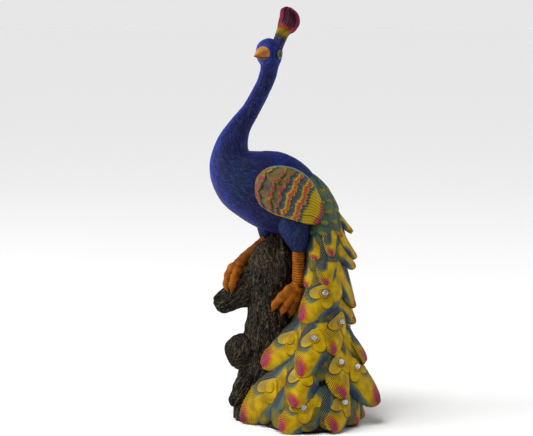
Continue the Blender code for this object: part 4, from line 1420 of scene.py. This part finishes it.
@dataclass
class Train:
    """The train: a core in level slices, big feathers listed one by one, and rings of plain ones under
    them.
    """

    # Height, front x, rear x, half width
    core_rows: tuple = (
        (60.2, 2.2, 4.6, 2.6),
        (57.0, 3.0, 7.4, 4.7),
        (54.0, 3.8, 9.1, 5.5),
        (50.0, 4.0, 10.4, 6.0),
        (46.0, 3.2, 11.2, 6.4),
        (42.0, 2.5, 11.4, 6.6),
        (36.0, 1.9, 11.5, 6.9),
        (30.0, 1.4, 11.6, 7.4),
        (24.0, 0.4, 12.0, 8.1),
        (18.5, -1.7, 13.0, 9.6),
        (12.5, -4.6, 14.0, 11.2),
        (6.5, -7.4, 14.8, 12.6),
        (0.5, -9.0, 15.2, 13.2),
        (0.0, -9.0, 15.2, 13.2),
    )
    middle_bearing: float = 17.0
    feathers: tuple = (
        Feather(4.0, 52.5, 4.0, 46.8, 10.0, 4.2, 3.2, lean=-0.3),
        Feather(20.0, 50.8, 34.0, 45.8, 34.0, 3.4, 1.0, twin=True),
        Feather(73.0, 50.8, 72.0, 41.9, 72.0, 3.8, 1.5, twin=True),
        Feather(129.0, 47.6, 108.0, 41.0, 100.0, 4.2, 1.5, twin=True),
        Feather(30.0, 48.8, 8.0, 40.6, 16.0, 4.6, 3.8, lean=-0.3),
        Feather(45.0, 45.5, 14.0, 38.4, 22.0, 4.6, 3.6, lean=-0.3),
        Feather(128.0, 42.5, 126.0, 34.2, 112.0, 4.4, 1.6, twin=True, lean=0.5),
        Feather(78.0, 44.0, 82.0, 34.9, 82.0, 5.0, 1.6, twin=True, lean=0.2),
        Feather(53.0, 42.5, 14.0, 28.8, 22.0, 5.6, 3.5, twin=True, lean=-0.5),
        Feather(46.0, 34.5, 14.0, 24.9, 24.0, 5.4, 3.3, twin=True, lean=-0.5),
        Feather(43.0, 38.5, 133.0, 26.4, 104.0, 8.4, 1.9, stone=True, twin=True, lean=0.9),
        Feather(36.0, 31.5, 70.0, 18.8, 54.0, 7.2, 2.2, stone=True, twin=True, lean=0.2),
        Feather(128.0, 26.5, 160.0, 14.6, 108.0, 9.0, 5.2, eyespot=True, twin=True, lean=0.7),
        Feather(37.0, 25.5, 12.0, 15.4, 42.0, 7.0, 4.4, twin=True, lean=-0.7),
        Feather(90.0, 29.0, 109.0, 13.9, 104.0, 8.2, 2.8, stone=True, twin=True, lean=0.5),
        Feather(58.0, 23.0, 55.0, 8.4, 58.0, 7.8, 2.8, stone=True, twin=True, lean=0.2),
        Feather(111.0, 20.0, 106.0, 6.8, 104.0, 8.2, 3.0, eyespot=True, twin=True, lean=0.6),
        Feather(38.0, 21.5, 18.0, 5.4, 52.0, 9.2, 6.6, stone=True, lean=-0.4, dark=0.6),
        Feather(132.0, 17.0, 164.0, 0.7, 112.0, 9.4, 4.6, eyespot=True, twin=True, lean=0.8, dark=0.8),
        Feather(79.0, 10.8, 118.0, 0.9, 104.0, 8.4, 2.4, stone=True, twin=True, lean=0.5),
        Feather(40.0, 11.6, 67.0, 0.9, 62.0, 8.4, 2.6, stone=True, twin=True, lean=0.1),
        Feather(12.0, 8.5, 34.0, 0.9, 32.0, 6.0, 2.2, twin=True),
    )
    # Tip height, first bearing, number of feathers, width, tip lift
    under_rings: tuple = (
        (37.0, -112.0, 7, 5.2, 0.7),
        (29.5, -128.0, 8, 5.6, 0.8),
        (21.5, -112.0, 8, 6.4, 0.9),
        (12.5, -124.0, 9, 7.6, 1.0),
        (0.9, -132.0, 11, 8.2, 1.5),
    )
    under_length: float = 10.5
    under_sweep: float = 282.0
    # Tip height, first bearing, number of feathers
    rump_rings: tuple = ((56.6, -110.0, 7), (54.2, -128.0, 8), (51.8, -112.0, 8), (49.4, -126.0, 8),
                         (46.8, -116.0, 7))
    rump_length: float = 3.8
    rump_sweep: float = 250.0
    rump_width: float = 4.0
    rump_lift: float = 0.9
    root_lift: float = 0.2
    thickness: float = 0.95
    edge_thickness: float = 0.45
    arc: float = math.radians(55.0)
    crown: float = 0.35
    face_rise: float = 0.25
    root_bluntness: float = 0.06
    root_power: float = 0.55
    tip_sharpness: float = 0.99
    tip_power: float = 0.5
    widest_product: float = 0.535
    stone_place: float = 0.46
    stone_diameter: float = 0.0045 / SHARE
    seat_clearance: float = 0.0003 / SHARE
    seat_depth: float = 0.0009 / SHARE
    boss_margin: float = 0.0015 / SHARE
    boss_rise: float = 0.0011 / SHARE
    # The heart's radius round the stone, every 15 degrees from its notch ahead to its point behind
    heart_radii: tuple = (1.7, 2.45, 3.4, 3.85, 3.75, 3.2, 2.65, 2.3, 2.15, 2.15, 2.3, 2.55, 2.8)
    heart_step: float = math.radians(15.0)
    heart_rise: float = 0.26
    heart_edge: float = 0.16
    barb_pitch: float = 0.42
    barb_rise: float = 0.055
    breadth: float = 1.1
    lower_columns: int = 5
    core_mesh: tuple[int, int] = (70, 64)
    # Points along and across a feather
    rump_mesh: tuple[int, int] = (28, 21)
    under_mesh: tuple[int, int] = (32, 21)
    upper_mesh: tuple[int, int] = (80, 45)
    lower_mesh: tuple[int, int] = (120, 61)
    far_mesh: tuple[int, int] = (76, 41)
    # How many of the big feathers are the upper tier
    upper_count: int = 10

    def slice_at(self, height: np.ndarray) -> tuple[np.ndarray, np.ndarray, np.ndarray]:
        """Read the core's oval slices.

        Args:
            height: Where to read them.

        Returns:
            The middle x, the half length and the half width at each height.
        """
        table = np.asarray(self.core_rows)[::-1]
        front, rear, half_width = (np.interp(height, table[:, 0], table[:, k]) for k in (1, 2, 3))
        return (front + rear) / 2.0, (rear - front) / 2.0, half_width

    def point(self, bearing: np.ndarray, height: np.ndarray, lift: np.ndarray) -> np.ndarray:
        """Find points over the core's skin.

        Args:
            bearing: Each point's bearing, in degrees.
            height: Its height.
            lift: How far outside the core's oval slice it lies.

        Returns:
            The points.
        """
        middle, half_length, half_width = self.slice_at(height)
        angle = np.radians(bearing)
        return np.stack([middle + (half_length + lift) * np.cos(angle),
                         -(half_width + lift) * np.sin(angle), height], axis=-1)

    def frame_of(self, feather: Feather, place: np.ndarray
                 ) -> tuple[np.ndarray, np.ndarray, np.ndarray]:
        """Give a feather's midline, and the directions across it and out of it.

        The bearing and the height go evenly from root to tip, the lift by the square of the place,
        and the face from the root's bearing by its square root. Out is the core's normal at the
        face's bearing, made square to the midline.

        Args:
            feather: The feather.
            place: Places from 0, its root, to 1, its tip.

        Returns:
            Points, directions across and directions out, one for each place.
        """
        def midline(t: np.ndarray) -> np.ndarray:
            """Give the midline's points."""
            return self.point(feather.root_bearing + (feather.tip_bearing - feather.root_bearing) * t,
                              feather.root_height + (feather.tip_height - feather.root_height) * t,
                              self.root_lift + (feather.tip_lift - self.root_lift) * t ** 2)

        step = 0.01
        points = midline(place)
        along = midline(place + step) - midline(place - step)
        along /= np.linalg.norm(along, axis=-1, keepdims=True)
        face = np.radians(feather.root_bearing + (feather.face - feather.root_bearing) * np.sqrt(place))
        _, half_length, half_width = self.slice_at(points[:, 2])
        out = np.stack([half_width * np.cos(face), -half_length * np.sin(face),
                        self.face_rise * half_width], axis=-1)
        out -= along * np.sum(out * along, axis=-1, keepdims=True)
        out /= np.linalg.norm(out, axis=-1, keepdims=True)
        return points, np.cross(along, out), out

    def half_width_at(self, place: np.ndarray, width: float) -> np.ndarray:
        """Give a feather's half width: it swells fast from the root and closes to a point.

        Half the width times ((t + b) / (1 + b))^r (1 - s t)^p, over the product where it is widest.

        Args:
            place: Places from 0 to 1.
            width: The feather's width.

        Returns:
            The half width at each place.
        """
        swell = ((place + self.root_bluntness) / (1.0 + self.root_bluntness)) ** self.root_power
        close = (1.0 - place * self.tip_sharpness) ** self.tip_power
        return width / 2.0 * swell * close / self.widest_product

    def eyespot(self, ahead: np.ndarray, aside: np.ndarray, stone: bool
                ) -> tuple[np.ndarray, np.ndarray]:
        """Give how far the eyespot stands up, and the distance to its outlines in mm.

        The heart is a plate whose radius round the stone is read from a smooth curve by the angle off
        the feather's midline, and the boss is a disc on it. Each has a sloping edge, and the heart's
        plate is a little dished.

        Args:
            ahead: Distance towards the tip from the stone's middle, in shares.
            aside: Distance to the side of it.
            stone: Whether a seat is cut for a stone.

        Returns:
            The rise in shares and the distance in mm.
        """
        boss_radius = self.stone_diameter / 2.0 + self.boss_margin
        from_stone = np.hypot(ahead, aside)
        bearing = np.abs(np.arctan2(aside, ahead)) / self.heart_step
        radii = smooth_rows(np.array(self.heart_radii)[:, None], bearing.ravel())
        reach = radii[:, 0].reshape(bearing.shape) - from_stone
        boss = np.clip((boss_radius - from_stone) / self.heart_edge, 0.0, 1.0)
        heart = np.clip(reach / self.heart_edge, 0.0, 1.0)
        rise = np.maximum(boss * self.boss_rise,
                          heart * self.heart_rise * (1.0 - 0.3 * fade(0.2, 1.0, reach)))
        if stone:
            seat = self.stone_diameter / 2.0 + self.seat_clearance
            rise = rise - self.seat_depth * fade(seat + 0.1, seat - 0.1, from_stone)
        outline = np.minimum(np.abs(reach), 1.4 * np.abs(from_stone - boss_radius))
        return rise, outline * SHARE_MM

    def feather_form(self, feather: Feather, rows: int, columns: int, seed: int) -> Form:
        """Make one feather: an arched shell with barbs, an eyespot if it has one, and its paint.

        Across the feather the skin is an arc, radius sin(turn) aside and radius (cos(turn) - 1) up,
        on a crown. The barbs are ridges that run outward and towards the tip, the sine of
        (ahead - aside^1.1 + a slow wave) over the pitch, stronger on the leading side. Where there
        are too few rows for them they are left to the paint. The underside is a coarser grid, a
        thickness below.

        Args:
            feather: The feather.
            rows: Points from root to tip.
            columns: Points across it, an odd number.
            seed: Varies the paint a little from feather to feather.

        Returns:
            The closed form.
        """
        chance = np.random.default_rng(seed)
        place = np.linspace(0.0, 1.0, rows)
        points, across, out = self.frame_of(feather, place)
        length = np.linalg.norm(np.diff(points, axis=0), axis=1).sum()
        half = self.half_width_at(place, feather.width)[:, None]
        share = np.linspace(-1.0, 1.0, columns)[None, :]
        turn = share * self.arc
        radius = half / math.sin(self.arc)
        plain = radius * (np.cos(turn) - 1.0) + self.crown * half
        aside = self.breadth * radius * np.sin(turn)
        ahead = (place[:, None] - self.stone_place) * length
        fringe = fade(0.1, 0.6, share * (1.0 if feather.lean >= 0.0 else -1.0))
        comb = (0.2 + 0.8 * fringe) * fade(0.0, 0.15, place)[:, None]
        bent = 0.25 * np.sin(1.7 * ahead + 2.0 * share + chance.uniform(0.0, math.tau))
        pitch = self.barb_pitch * math.sqrt(2.0)
        barb = (ahead - np.abs(aside) ** 1.1 + bent) / pitch
        spot, outline = np.zeros_like(plain), np.full_like(plain, 9.0)
        if feather.stone or feather.eyespot:
            spot, outline = self.eyespot(ahead, aside, feather.stone)
            comb = comb * fade(0.3, 0.8, outline) * (spot < 0.05)
        ridges = self.barb_rise * comb * np.sin(math.tau * barb) * fade(3.5, 4.5, pitch * rows / length)
        round_off = 0.28 * (1.0 - np.sqrt(1.0 - np.clip((np.abs(share) - 0.86) / 0.14, 0.0, 1.0) ** 2))
        notches = 1.0 + 0.02 * np.sin(math.tau * barb / 3.0) * fade(0.7, 1.0, np.abs(share))
        thickness = self.edge_thickness + (self.thickness - self.edge_thickness) * np.cos(turn)
        side = points[:, None] + across[:, None] * (aside * notches)[..., None]
        upper = side + out[:, None] * (plain + spot + ridges - round_off)[..., None]
        lower = side + out[:, None] * (plain - thickness + 0.6 * round_off)[..., None]
        kept = slice(None, None, (columns - 1) // (self.lower_columns - 1))
        both = np.vstack([upper.reshape(-1, 3), lower[:, kept].reshape(-1, 3)])
        both[:, 2] = np.maximum(both[:, 2], 0.0)
        # The outline fades rootward, so it is heaviest tipward, as painted shadow under the raised heart
        # and boss
        outline = outline + 0.5 * fade(0.5, -1.5, ahead)
        painted = self.paint(feather, place[:, None], share, outline, chance)
        painted["blue"] = painted["blue"] * (1.0 - 0.75 * fade(0.0, 0.15, spot))
        painted["comb"], painted["barb"] = comb, barb
        whole = {key: np.broadcast_to(value, plain.shape) for key, value in painted.items()}
        values = {key: np.concatenate([value.ravel(), value[:, kept].ravel()])
                  for key, value in whole.items()}
        # The underside is painted shade
        values["under"] = np.repeat([0.0, 1.0], [plain.size, rows * self.lower_columns])
        return Form(both, *self.shell_faces(rows, columns), values)

    def shell_faces(self, rows: int, columns: int) -> tuple[np.ndarray, np.ndarray]:
        """Close a fine upper grid and a coarse lower one into a shell.

        Each side of the lower grid has the upper one's rows. At the root and at the tip, fans of
        triangles go from each lower point to the upper points nearest to it.

        Args:
            rows: Rows of both grids.
            columns: Columns of the upper grid: 1 more than a multiple of the lower one's gaps.

        Returns:
            The four-sided faces and the triangles.
        """
        gaps, start = self.lower_columns - 1, rows * columns
        run = (columns - 1) // gaps
        row = np.arange(rows - 1)
        walls = [np.stack([row * columns + high, (row + 1) * columns + high,
                           start + (row + 1) * self.lower_columns + low,
                           start + row * self.lower_columns + low], axis=1)
                 for high, low in ((0, 0), (columns - 1, gaps))]
        under = strip_faces(rows, self.lower_columns, around=False)[:, ::-1] + start
        point, gap = np.arange(columns - 1), np.arange(gaps)
        nearest = point // run + (point % run >= run // 2)
        fans = []
        for end in (0, rows - 1):
            high, low = end * columns, start + end * self.lower_columns
            fans += [np.stack([high + point, high + point + 1, low + nearest], axis=1),
                     np.stack([high + gap * run + run // 2, low + gap, low + gap + 1], axis=1)]
        return np.vstack([strip_faces(rows, columns, around=False), under, *walls]), np.vstack(fans)

    @staticmethod
    def paint(feather: Feather, place: np.ndarray, share: np.ndarray, outline: np.ndarray,
              chance: np.random.Generator) -> dict[str, np.ndarray]:
        """Say where each paint lies on a feather.

        Args:
            feather: The feather, whose lean says to which side the paints lie.
            place: Place along it, from 0 to 1.
            share: Place across it, from -1 to 1, with 1 towards the front.
            outline: Distance to the eyespot's outlines, in mm.
            chance: Varies the places a little.

        Returns:
            The paint's values.
        """
        shift = chance.uniform(-0.05, 0.05, 4)
        side = share * (1.0 if feather.lean >= 0.0 else -1.0)
        leading = (fade(0.78, 0.55, place + shift[0]) * fade(-0.15, 0.35, side)
                   * fade(1.02, 0.82, side))
        trailing = hill(place, 0.68 + shift[1], 0.17) * fade(-0.4, -0.85, side)
        root = hill(place, 0.06, 0.12) * 0.6
        pink_middle = 0.05 + 2.2 * (1.0 - place)
        pink = np.clip(1.4 - np.hypot((place - 0.98 - 0.5 * shift[2]) / 0.16,
                                      (side - pink_middle) / 0.55), 0.0, 1.0)
        # The shade is painted shade at the root, under the feather above, and along the trailing edge
        return {"blue": np.maximum(np.maximum(leading, trailing), root), "pink": pink,
                "tip": feather.dark * fade(0.84, 0.97, place),
                "shade": fade(0.22, 0.03, place) + 0.8 * fade(-0.7, -1.0, side),
                "outline": outline}

    def mirrored(self, feather: Feather) -> Feather:
        """Mirror a feather to the far side of the train.

        Args:
            feather: The feather on the viewer's side.

        Returns:
            Its twin.
        """
        turned = {key: 2.0 * self.middle_bearing - getattr(feather, key)
                  for key in ("root_bearing", "tip_bearing", "face")}
        return replace(feather, lean=-feather.lean, **turned)

    def big_feathers(self) -> tuple[list[Feather], list[Feather]]:
        """List the big feathers on the viewer's side and their twins on the far side."""
        return list(self.feathers), [self.mirrored(feather) for feather in self.feathers if feather.twin]

    def ring(self, tip_height: float, first: float, count: int, width: float, lift: float,
             length: float, sweep: float) -> list[Feather]:
        """List plain feathers that hang side by side round the train.

        Args:
            tip_height: Height of their tips.
            first: Bearing of the first.
            count: How many.
            width: Their width.
            lift: Their tips' lift.
            length: Their length.
            sweep: Bearing from the first to the last.

        Returns:
            The feathers.
        """
        bearings = [first + sweep * index / (count - 1) for index in range(count)]
        return [Feather(bearing, tip_height + length, bearing, tip_height, bearing, width, lift)
                for bearing in bearings]

    def core(self) -> Form:
        """Loft the core from its level slices.

        Returns:
            The form, all in painted shade.
        """
        rows = tuple((rear, height, front, height, 0.0, half)
                     for height, front, rear, half in self.core_rows)
        grid, _, _ = Loft(rows, *self.core_mesh).grid()
        grid[..., 2] = np.maximum(grid[..., 2], 0.0)
        full = np.ones(grid.shape[:2])
        return tube_form(grid, {"under": full, "outline": 9.0 * full, "blue": 0.3 * full})

    def build(self, shop: Workshop) -> None:
        """Make the train's pieces: the core, the rump, the under feathers and tiers of big ones.

        Args:
            shop: Makes the pieces.
        """
        shop.make("train_core", self.core(), UNDER_PAINT)
        rump = [feather for height, first, count in self.rump_rings
                for feather in self.ring(height, first, count, self.rump_width, self.rump_lift,
                                         self.rump_length, self.rump_sweep)]
        under = [feather for height, first, count, width, lift in self.under_rings
                 for feather in self.ring(height, first, count, width, lift, self.under_length,
                                          self.under_sweep)]
        near, far = self.big_feathers()
        upper, lower = near[:self.upper_count], near[self.upper_count:]
        for name, feathers, mesh, seed, finish in (
                ("rump_feathers", rump, self.rump_mesh, 500, RUMP_PAINT),
                ("train_under_feathers", under, self.under_mesh, 600, UNDER_PAINT),
                ("train_feathers_upper", upper, self.upper_mesh, 0, TRAIN_PAINT),
                ("train_feathers_lower", lower, self.lower_mesh, 0, TRAIN_PAINT),
                ("train_feathers_far", far, self.far_mesh, 0, TRAIN_PAINT)):
            forms = [self.feather_form(feather, *mesh, seed + number)
                     for number, feather in enumerate(feathers)]
            shop.make(name, Form.joined(forms), finish)


@dataclass
class Rhinestones:
    """Clear faceted stones with foil backs, one in each boss of the train."""

    train: Train
    diameter: float = 0.0045 / SHARE
    height: float = 0.0018 / SHARE
    sides: int = 8
    table_share: float = 0.6
    girdle_share: float = 0.22
    back_rise: float = 0.0004 / SHARE

    def seats(self) -> list[tuple[np.ndarray, np.ndarray, np.ndarray]]:
        """Find the stones' seats.

        Returns:
            Each stone's foot in shares, and the directions across its feather and out of it.
        """
        near, far = self.train.big_feathers()
        seats = []
        for feather in [feather for feather in near + far if feather.stone]:
            place = np.array([self.train.stone_place])
            points, across, out = self.train.frame_of(feather, place)
            half = self.train.half_width_at(place, feather.width)[0]
            up = (self.train.crown * half + self.train.boss_rise - self.train.seat_depth
                  + self.train.seat_clearance)
            seats.append((points[0] + out[0] * up, across[0], out[0]))
        return seats

    def offset(self) -> np.ndarray:
        """Find where the carving stands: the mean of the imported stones' middles less these stones'.

        Returns:
            The move from the carving's own place, in metres.
        """
        moves = []
        for number, seat in enumerate(self.seats(), start=1):
            low, high = (np.array(corner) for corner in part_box(f"rhinestone_{number:02d}"))
            points = self.blank(*seat) * SHARE
            moves.append((low + high) / 2.0 - (points.min(axis=0) + points.max(axis=0)) / 2.0)
        LOG.info("the carving stands at %s, within %.4f mm", np.mean(moves, axis=0),
                 float(np.std(moves, axis=0).max()) / MM)
        return np.mean(moves, axis=0)

    def ring_points(self, seat: tuple, count: int, radius: float, height: float, turn: float
                    ) -> np.ndarray:
        """Give points on a circle that stands over a seat: foot + r cos across + r sin up + h out.

        Args:
            seat: The foot and the directions across and out.
            count: How many points.
            radius: The circle's radius.
            height: Its height over the foot.
            turn: The first point's angle.

        Returns:
            The points.
        """
        foot, across, out = seat
        angle = round_angles(count).T + turn
        upward = np.cross(out, across)
        return foot + out * height + radius * (np.cos(angle) * across + np.sin(angle) * upward)

    def blank(self, *seat: np.ndarray) -> np.ndarray:
        """Give the corners of the plain stone that the solids hold."""
        return np.vstack([self.ring_points(seat, self.sides, self.diameter / 2.0, 0.0, 0.0),
                          self.ring_points(seat, self.sides, self.table_share * self.diameter / 2.0,
                                           self.height, 0.0)])

    def cut(self, seat: tuple) -> Form:
        """Cut one stone: a girdle, kite facets up to the table, and a hollow back that is foiled.

        Args:
            seat: Its foot and directions.

        Returns:
            The form. The foil's faces are the last ones.
        """
        count, half = self.sides, self.diameter / 2.0
        step = math.pi / count
        back = self.ring_points(seat, count, half, 0.0, 0.0)
        girdle = self.ring_points(seat, count, half, self.girdle_share * self.height, 0.0)
        star = self.ring_points(seat, count, half * 0.86, 0.62 * self.height, step)
        table = self.ring_points(seat, count, half * self.table_share, self.height, 0.0)
        points = np.vstack([back, girdle, star, table, seat[0] + seat[2] * self.back_rise,
                            seat[0] + seat[2] * self.height])
        here = np.arange(count)
        after = (here + 1) % count
        quads = np.stack([here, after, count + after, count + here], axis=1)
        bottom, top = 4 * count, 4 * count + 1
        triangles = np.vstack([
            np.stack([count + here, count + after, 2 * count + here], axis=1),
            np.stack([3 * count + here, 2 * count + here, 3 * count + after], axis=1),
            np.stack([count + after, 3 * count + after, 2 * count + here], axis=1),
            np.stack([count + here, 2 * count + here, 3 * count + here], axis=1),
            np.stack([3 * count + here, 3 * count + after, np.full(count, top)], axis=1),
            np.stack([after, here, np.full(count, bottom)], axis=1)])
        return Form(points, quads, triangles)

    def build(self, shop: Workshop) -> None:
        """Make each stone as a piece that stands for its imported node.

        Args:
            shop: Makes the pieces.
        """
        for number, seat in enumerate(self.seats(), start=1):
            piece = shop.make(f"stone_{number:02d}", self.cut(seat), ClearAcrylic(),
                              f"rhinestone_{number:02d}", smooth=False)
            piece.data.materials.append(shop.material(FoilBack()))
            foil = np.zeros(len(piece.data.polygons), dtype=np.int32)
            foil[-self.sides:] = 1
            piece.data.polygons.foreach_set("material_index", foil)


@dataclass
class Studio:
    """A pale sweep, soft lights and a camera at the photograph's viewing angle."""

    distance: float = 0.950
    elevation: float = math.radians(8.0)
    look_x: float = -0.019
    look_z: float = 0.140
    metres_a_pixel: float = 0.00068
    image_width: int = 533
    sensor: float = 36.0
    floor_half: float = 60.0
    backdrop_level: float = 0.80
    room_level: float = 0.10
    sun_watts: float = 2.4
    sun_spread: float = math.radians(35.0)
    sun_way: tuple = (0.32, 0.28, -1.0)
    # Name, place, size and watts
    softboxes: tuple = (("left_softbox", (-1.1, -0.25, 0.45), 0.6, 10.0),
                        ("right_softbox", (1.1, -0.1, 0.5), 0.7, 4.0))
    aim: tuple = (0.0, 0.0, 0.13)
    # Where the room goes over to the backdrop from front to rear, and where it dims upward
    backdrop_depths: tuple = (-0.5, 0.35)
    backdrop_heights: tuple = (0.08, 0.5)
    upper_share: float = 0.3

    def camera(self, offset: np.ndarray) -> None:
        """Place the camera: a distance from the middle of the view, along -Y and above the horizon.

        Args:
            offset: Where the carving stands.
        """
        data = bpy.data.cameras.new("camera")
        data.sensor_width = self.sensor
        data.lens = self.sensor * self.distance / (self.metres_a_pixel * self.image_width)
        camera = add_object("camera", data)
        back = Vector((0.0, -math.cos(self.elevation), math.sin(self.elevation)))
        target = Vector((self.look_x + offset[0], offset[1], self.look_z))
        camera.location = target + back * self.distance
        camera.rotation_euler = (-back).to_track_quat("-Z", "Y").to_euler()
        bpy.context.scene.camera = camera

    def light(self, name: str, place: tuple, size: float, watts: float) -> None:
        """Hang a soft square light that looks at the figurine.

        Args:
            name: The light's name.
            place: Where it hangs.
            size: Its side.
            watts: Its strength.
        """
        data = bpy.data.lights.new(name, "AREA")
        data.size = size
        data.energy = watts
        light = add_object(name, data)
        light.location = place
        light.rotation_euler = (Vector(self.aim) - Vector(place)).to_track_quat("-Z", "Y").to_euler()

    def sun(self) -> None:
        """Light the whole floor evenly with one broad overhead light, a little from the front left."""
        data = bpy.data.lights.new("overhead", "SUN")
        data.energy = self.sun_watts
        data.angle = self.sun_spread
        light = add_object("overhead", data)
        light.rotation_euler = Vector(self.sun_way).to_track_quat("-Z", "Y").to_euler()

    def world(self) -> None:
        """Surround the scene: a white backdrop behind the figurine, and a dim room above and before it."""
        world = bpy.data.worlds.new("studio")
        bpy.context.scene.world = world
        world.use_nodes = True
        tree = world.node_tree
        way = add_node(tree, "ShaderNodeTexCoord").outputs["Generated"]
        parts = add_node(tree, "ShaderNodeSeparateXYZ", {0: way})
        behind = add_range(tree, parts.outputs[1], self.backdrop_depths,
                           (self.room_level, self.backdrop_level))
        low = add_range(tree, parts.outputs[2], self.backdrop_heights, (1.0, self.upper_share))
        level = add_math(tree, "MULTIPLY", behind, low)
        tree.links.new(level, tree.nodes["Background"].inputs["Strength"])
        tree.nodes["Background"].inputs["Color"].default_value = linear("#FFFFFF")

    def floor(self) -> None:
        """Lay a wide pale floor of painted board."""
        mesh = bpy.data.meshes.new("studio_floor")
        half = self.floor_half
        mesh.from_pydata([(-half, -half, 0.0), (half, -half, 0.0), (half, half, 0.0),
                          (-half, half, 0.0)], [], [(0, 1, 2, 3)])
        material, _, _ = new_material("matt_white_board", {"Base Color": linear("#F8F8F8"),
                                                           "Roughness": 0.9})
        mesh.materials.append(material)
        floor = add_object("studio_floor", mesh)

    def build(self, offset: np.ndarray) -> None:
        """Set up the floor, the world, the lights and the camera.

        Args:
            offset: Where the carving stands.
        """
        self.floor()
        self.world()
        self.sun()
        for softbox in self.softboxes:
            self.light(*softbox)
        self.camera(offset)
        bpy.context.scene.view_settings.view_transform = "Standard"


def main() -> None:
    """Build every sub-assembly in order, then the studio."""
    logging.basicConfig(level=logging.INFO, format="%(name)s: %(message)s")
    train = Train()
    stones = Rhinestones(train)
    shop = Workshop(stones.offset())
    Bird().build(shop)
    Wing().build(shop, 1.0, "wing_left")
    Wing().build(shop, -1.0, "wing_right")
    Legs().build(shop)
    Stump().build(shop)
    train.build(shop)
    stones.build(shop)
    Studio().build(shop.offset)


if __name__ == "__main__":
    main()
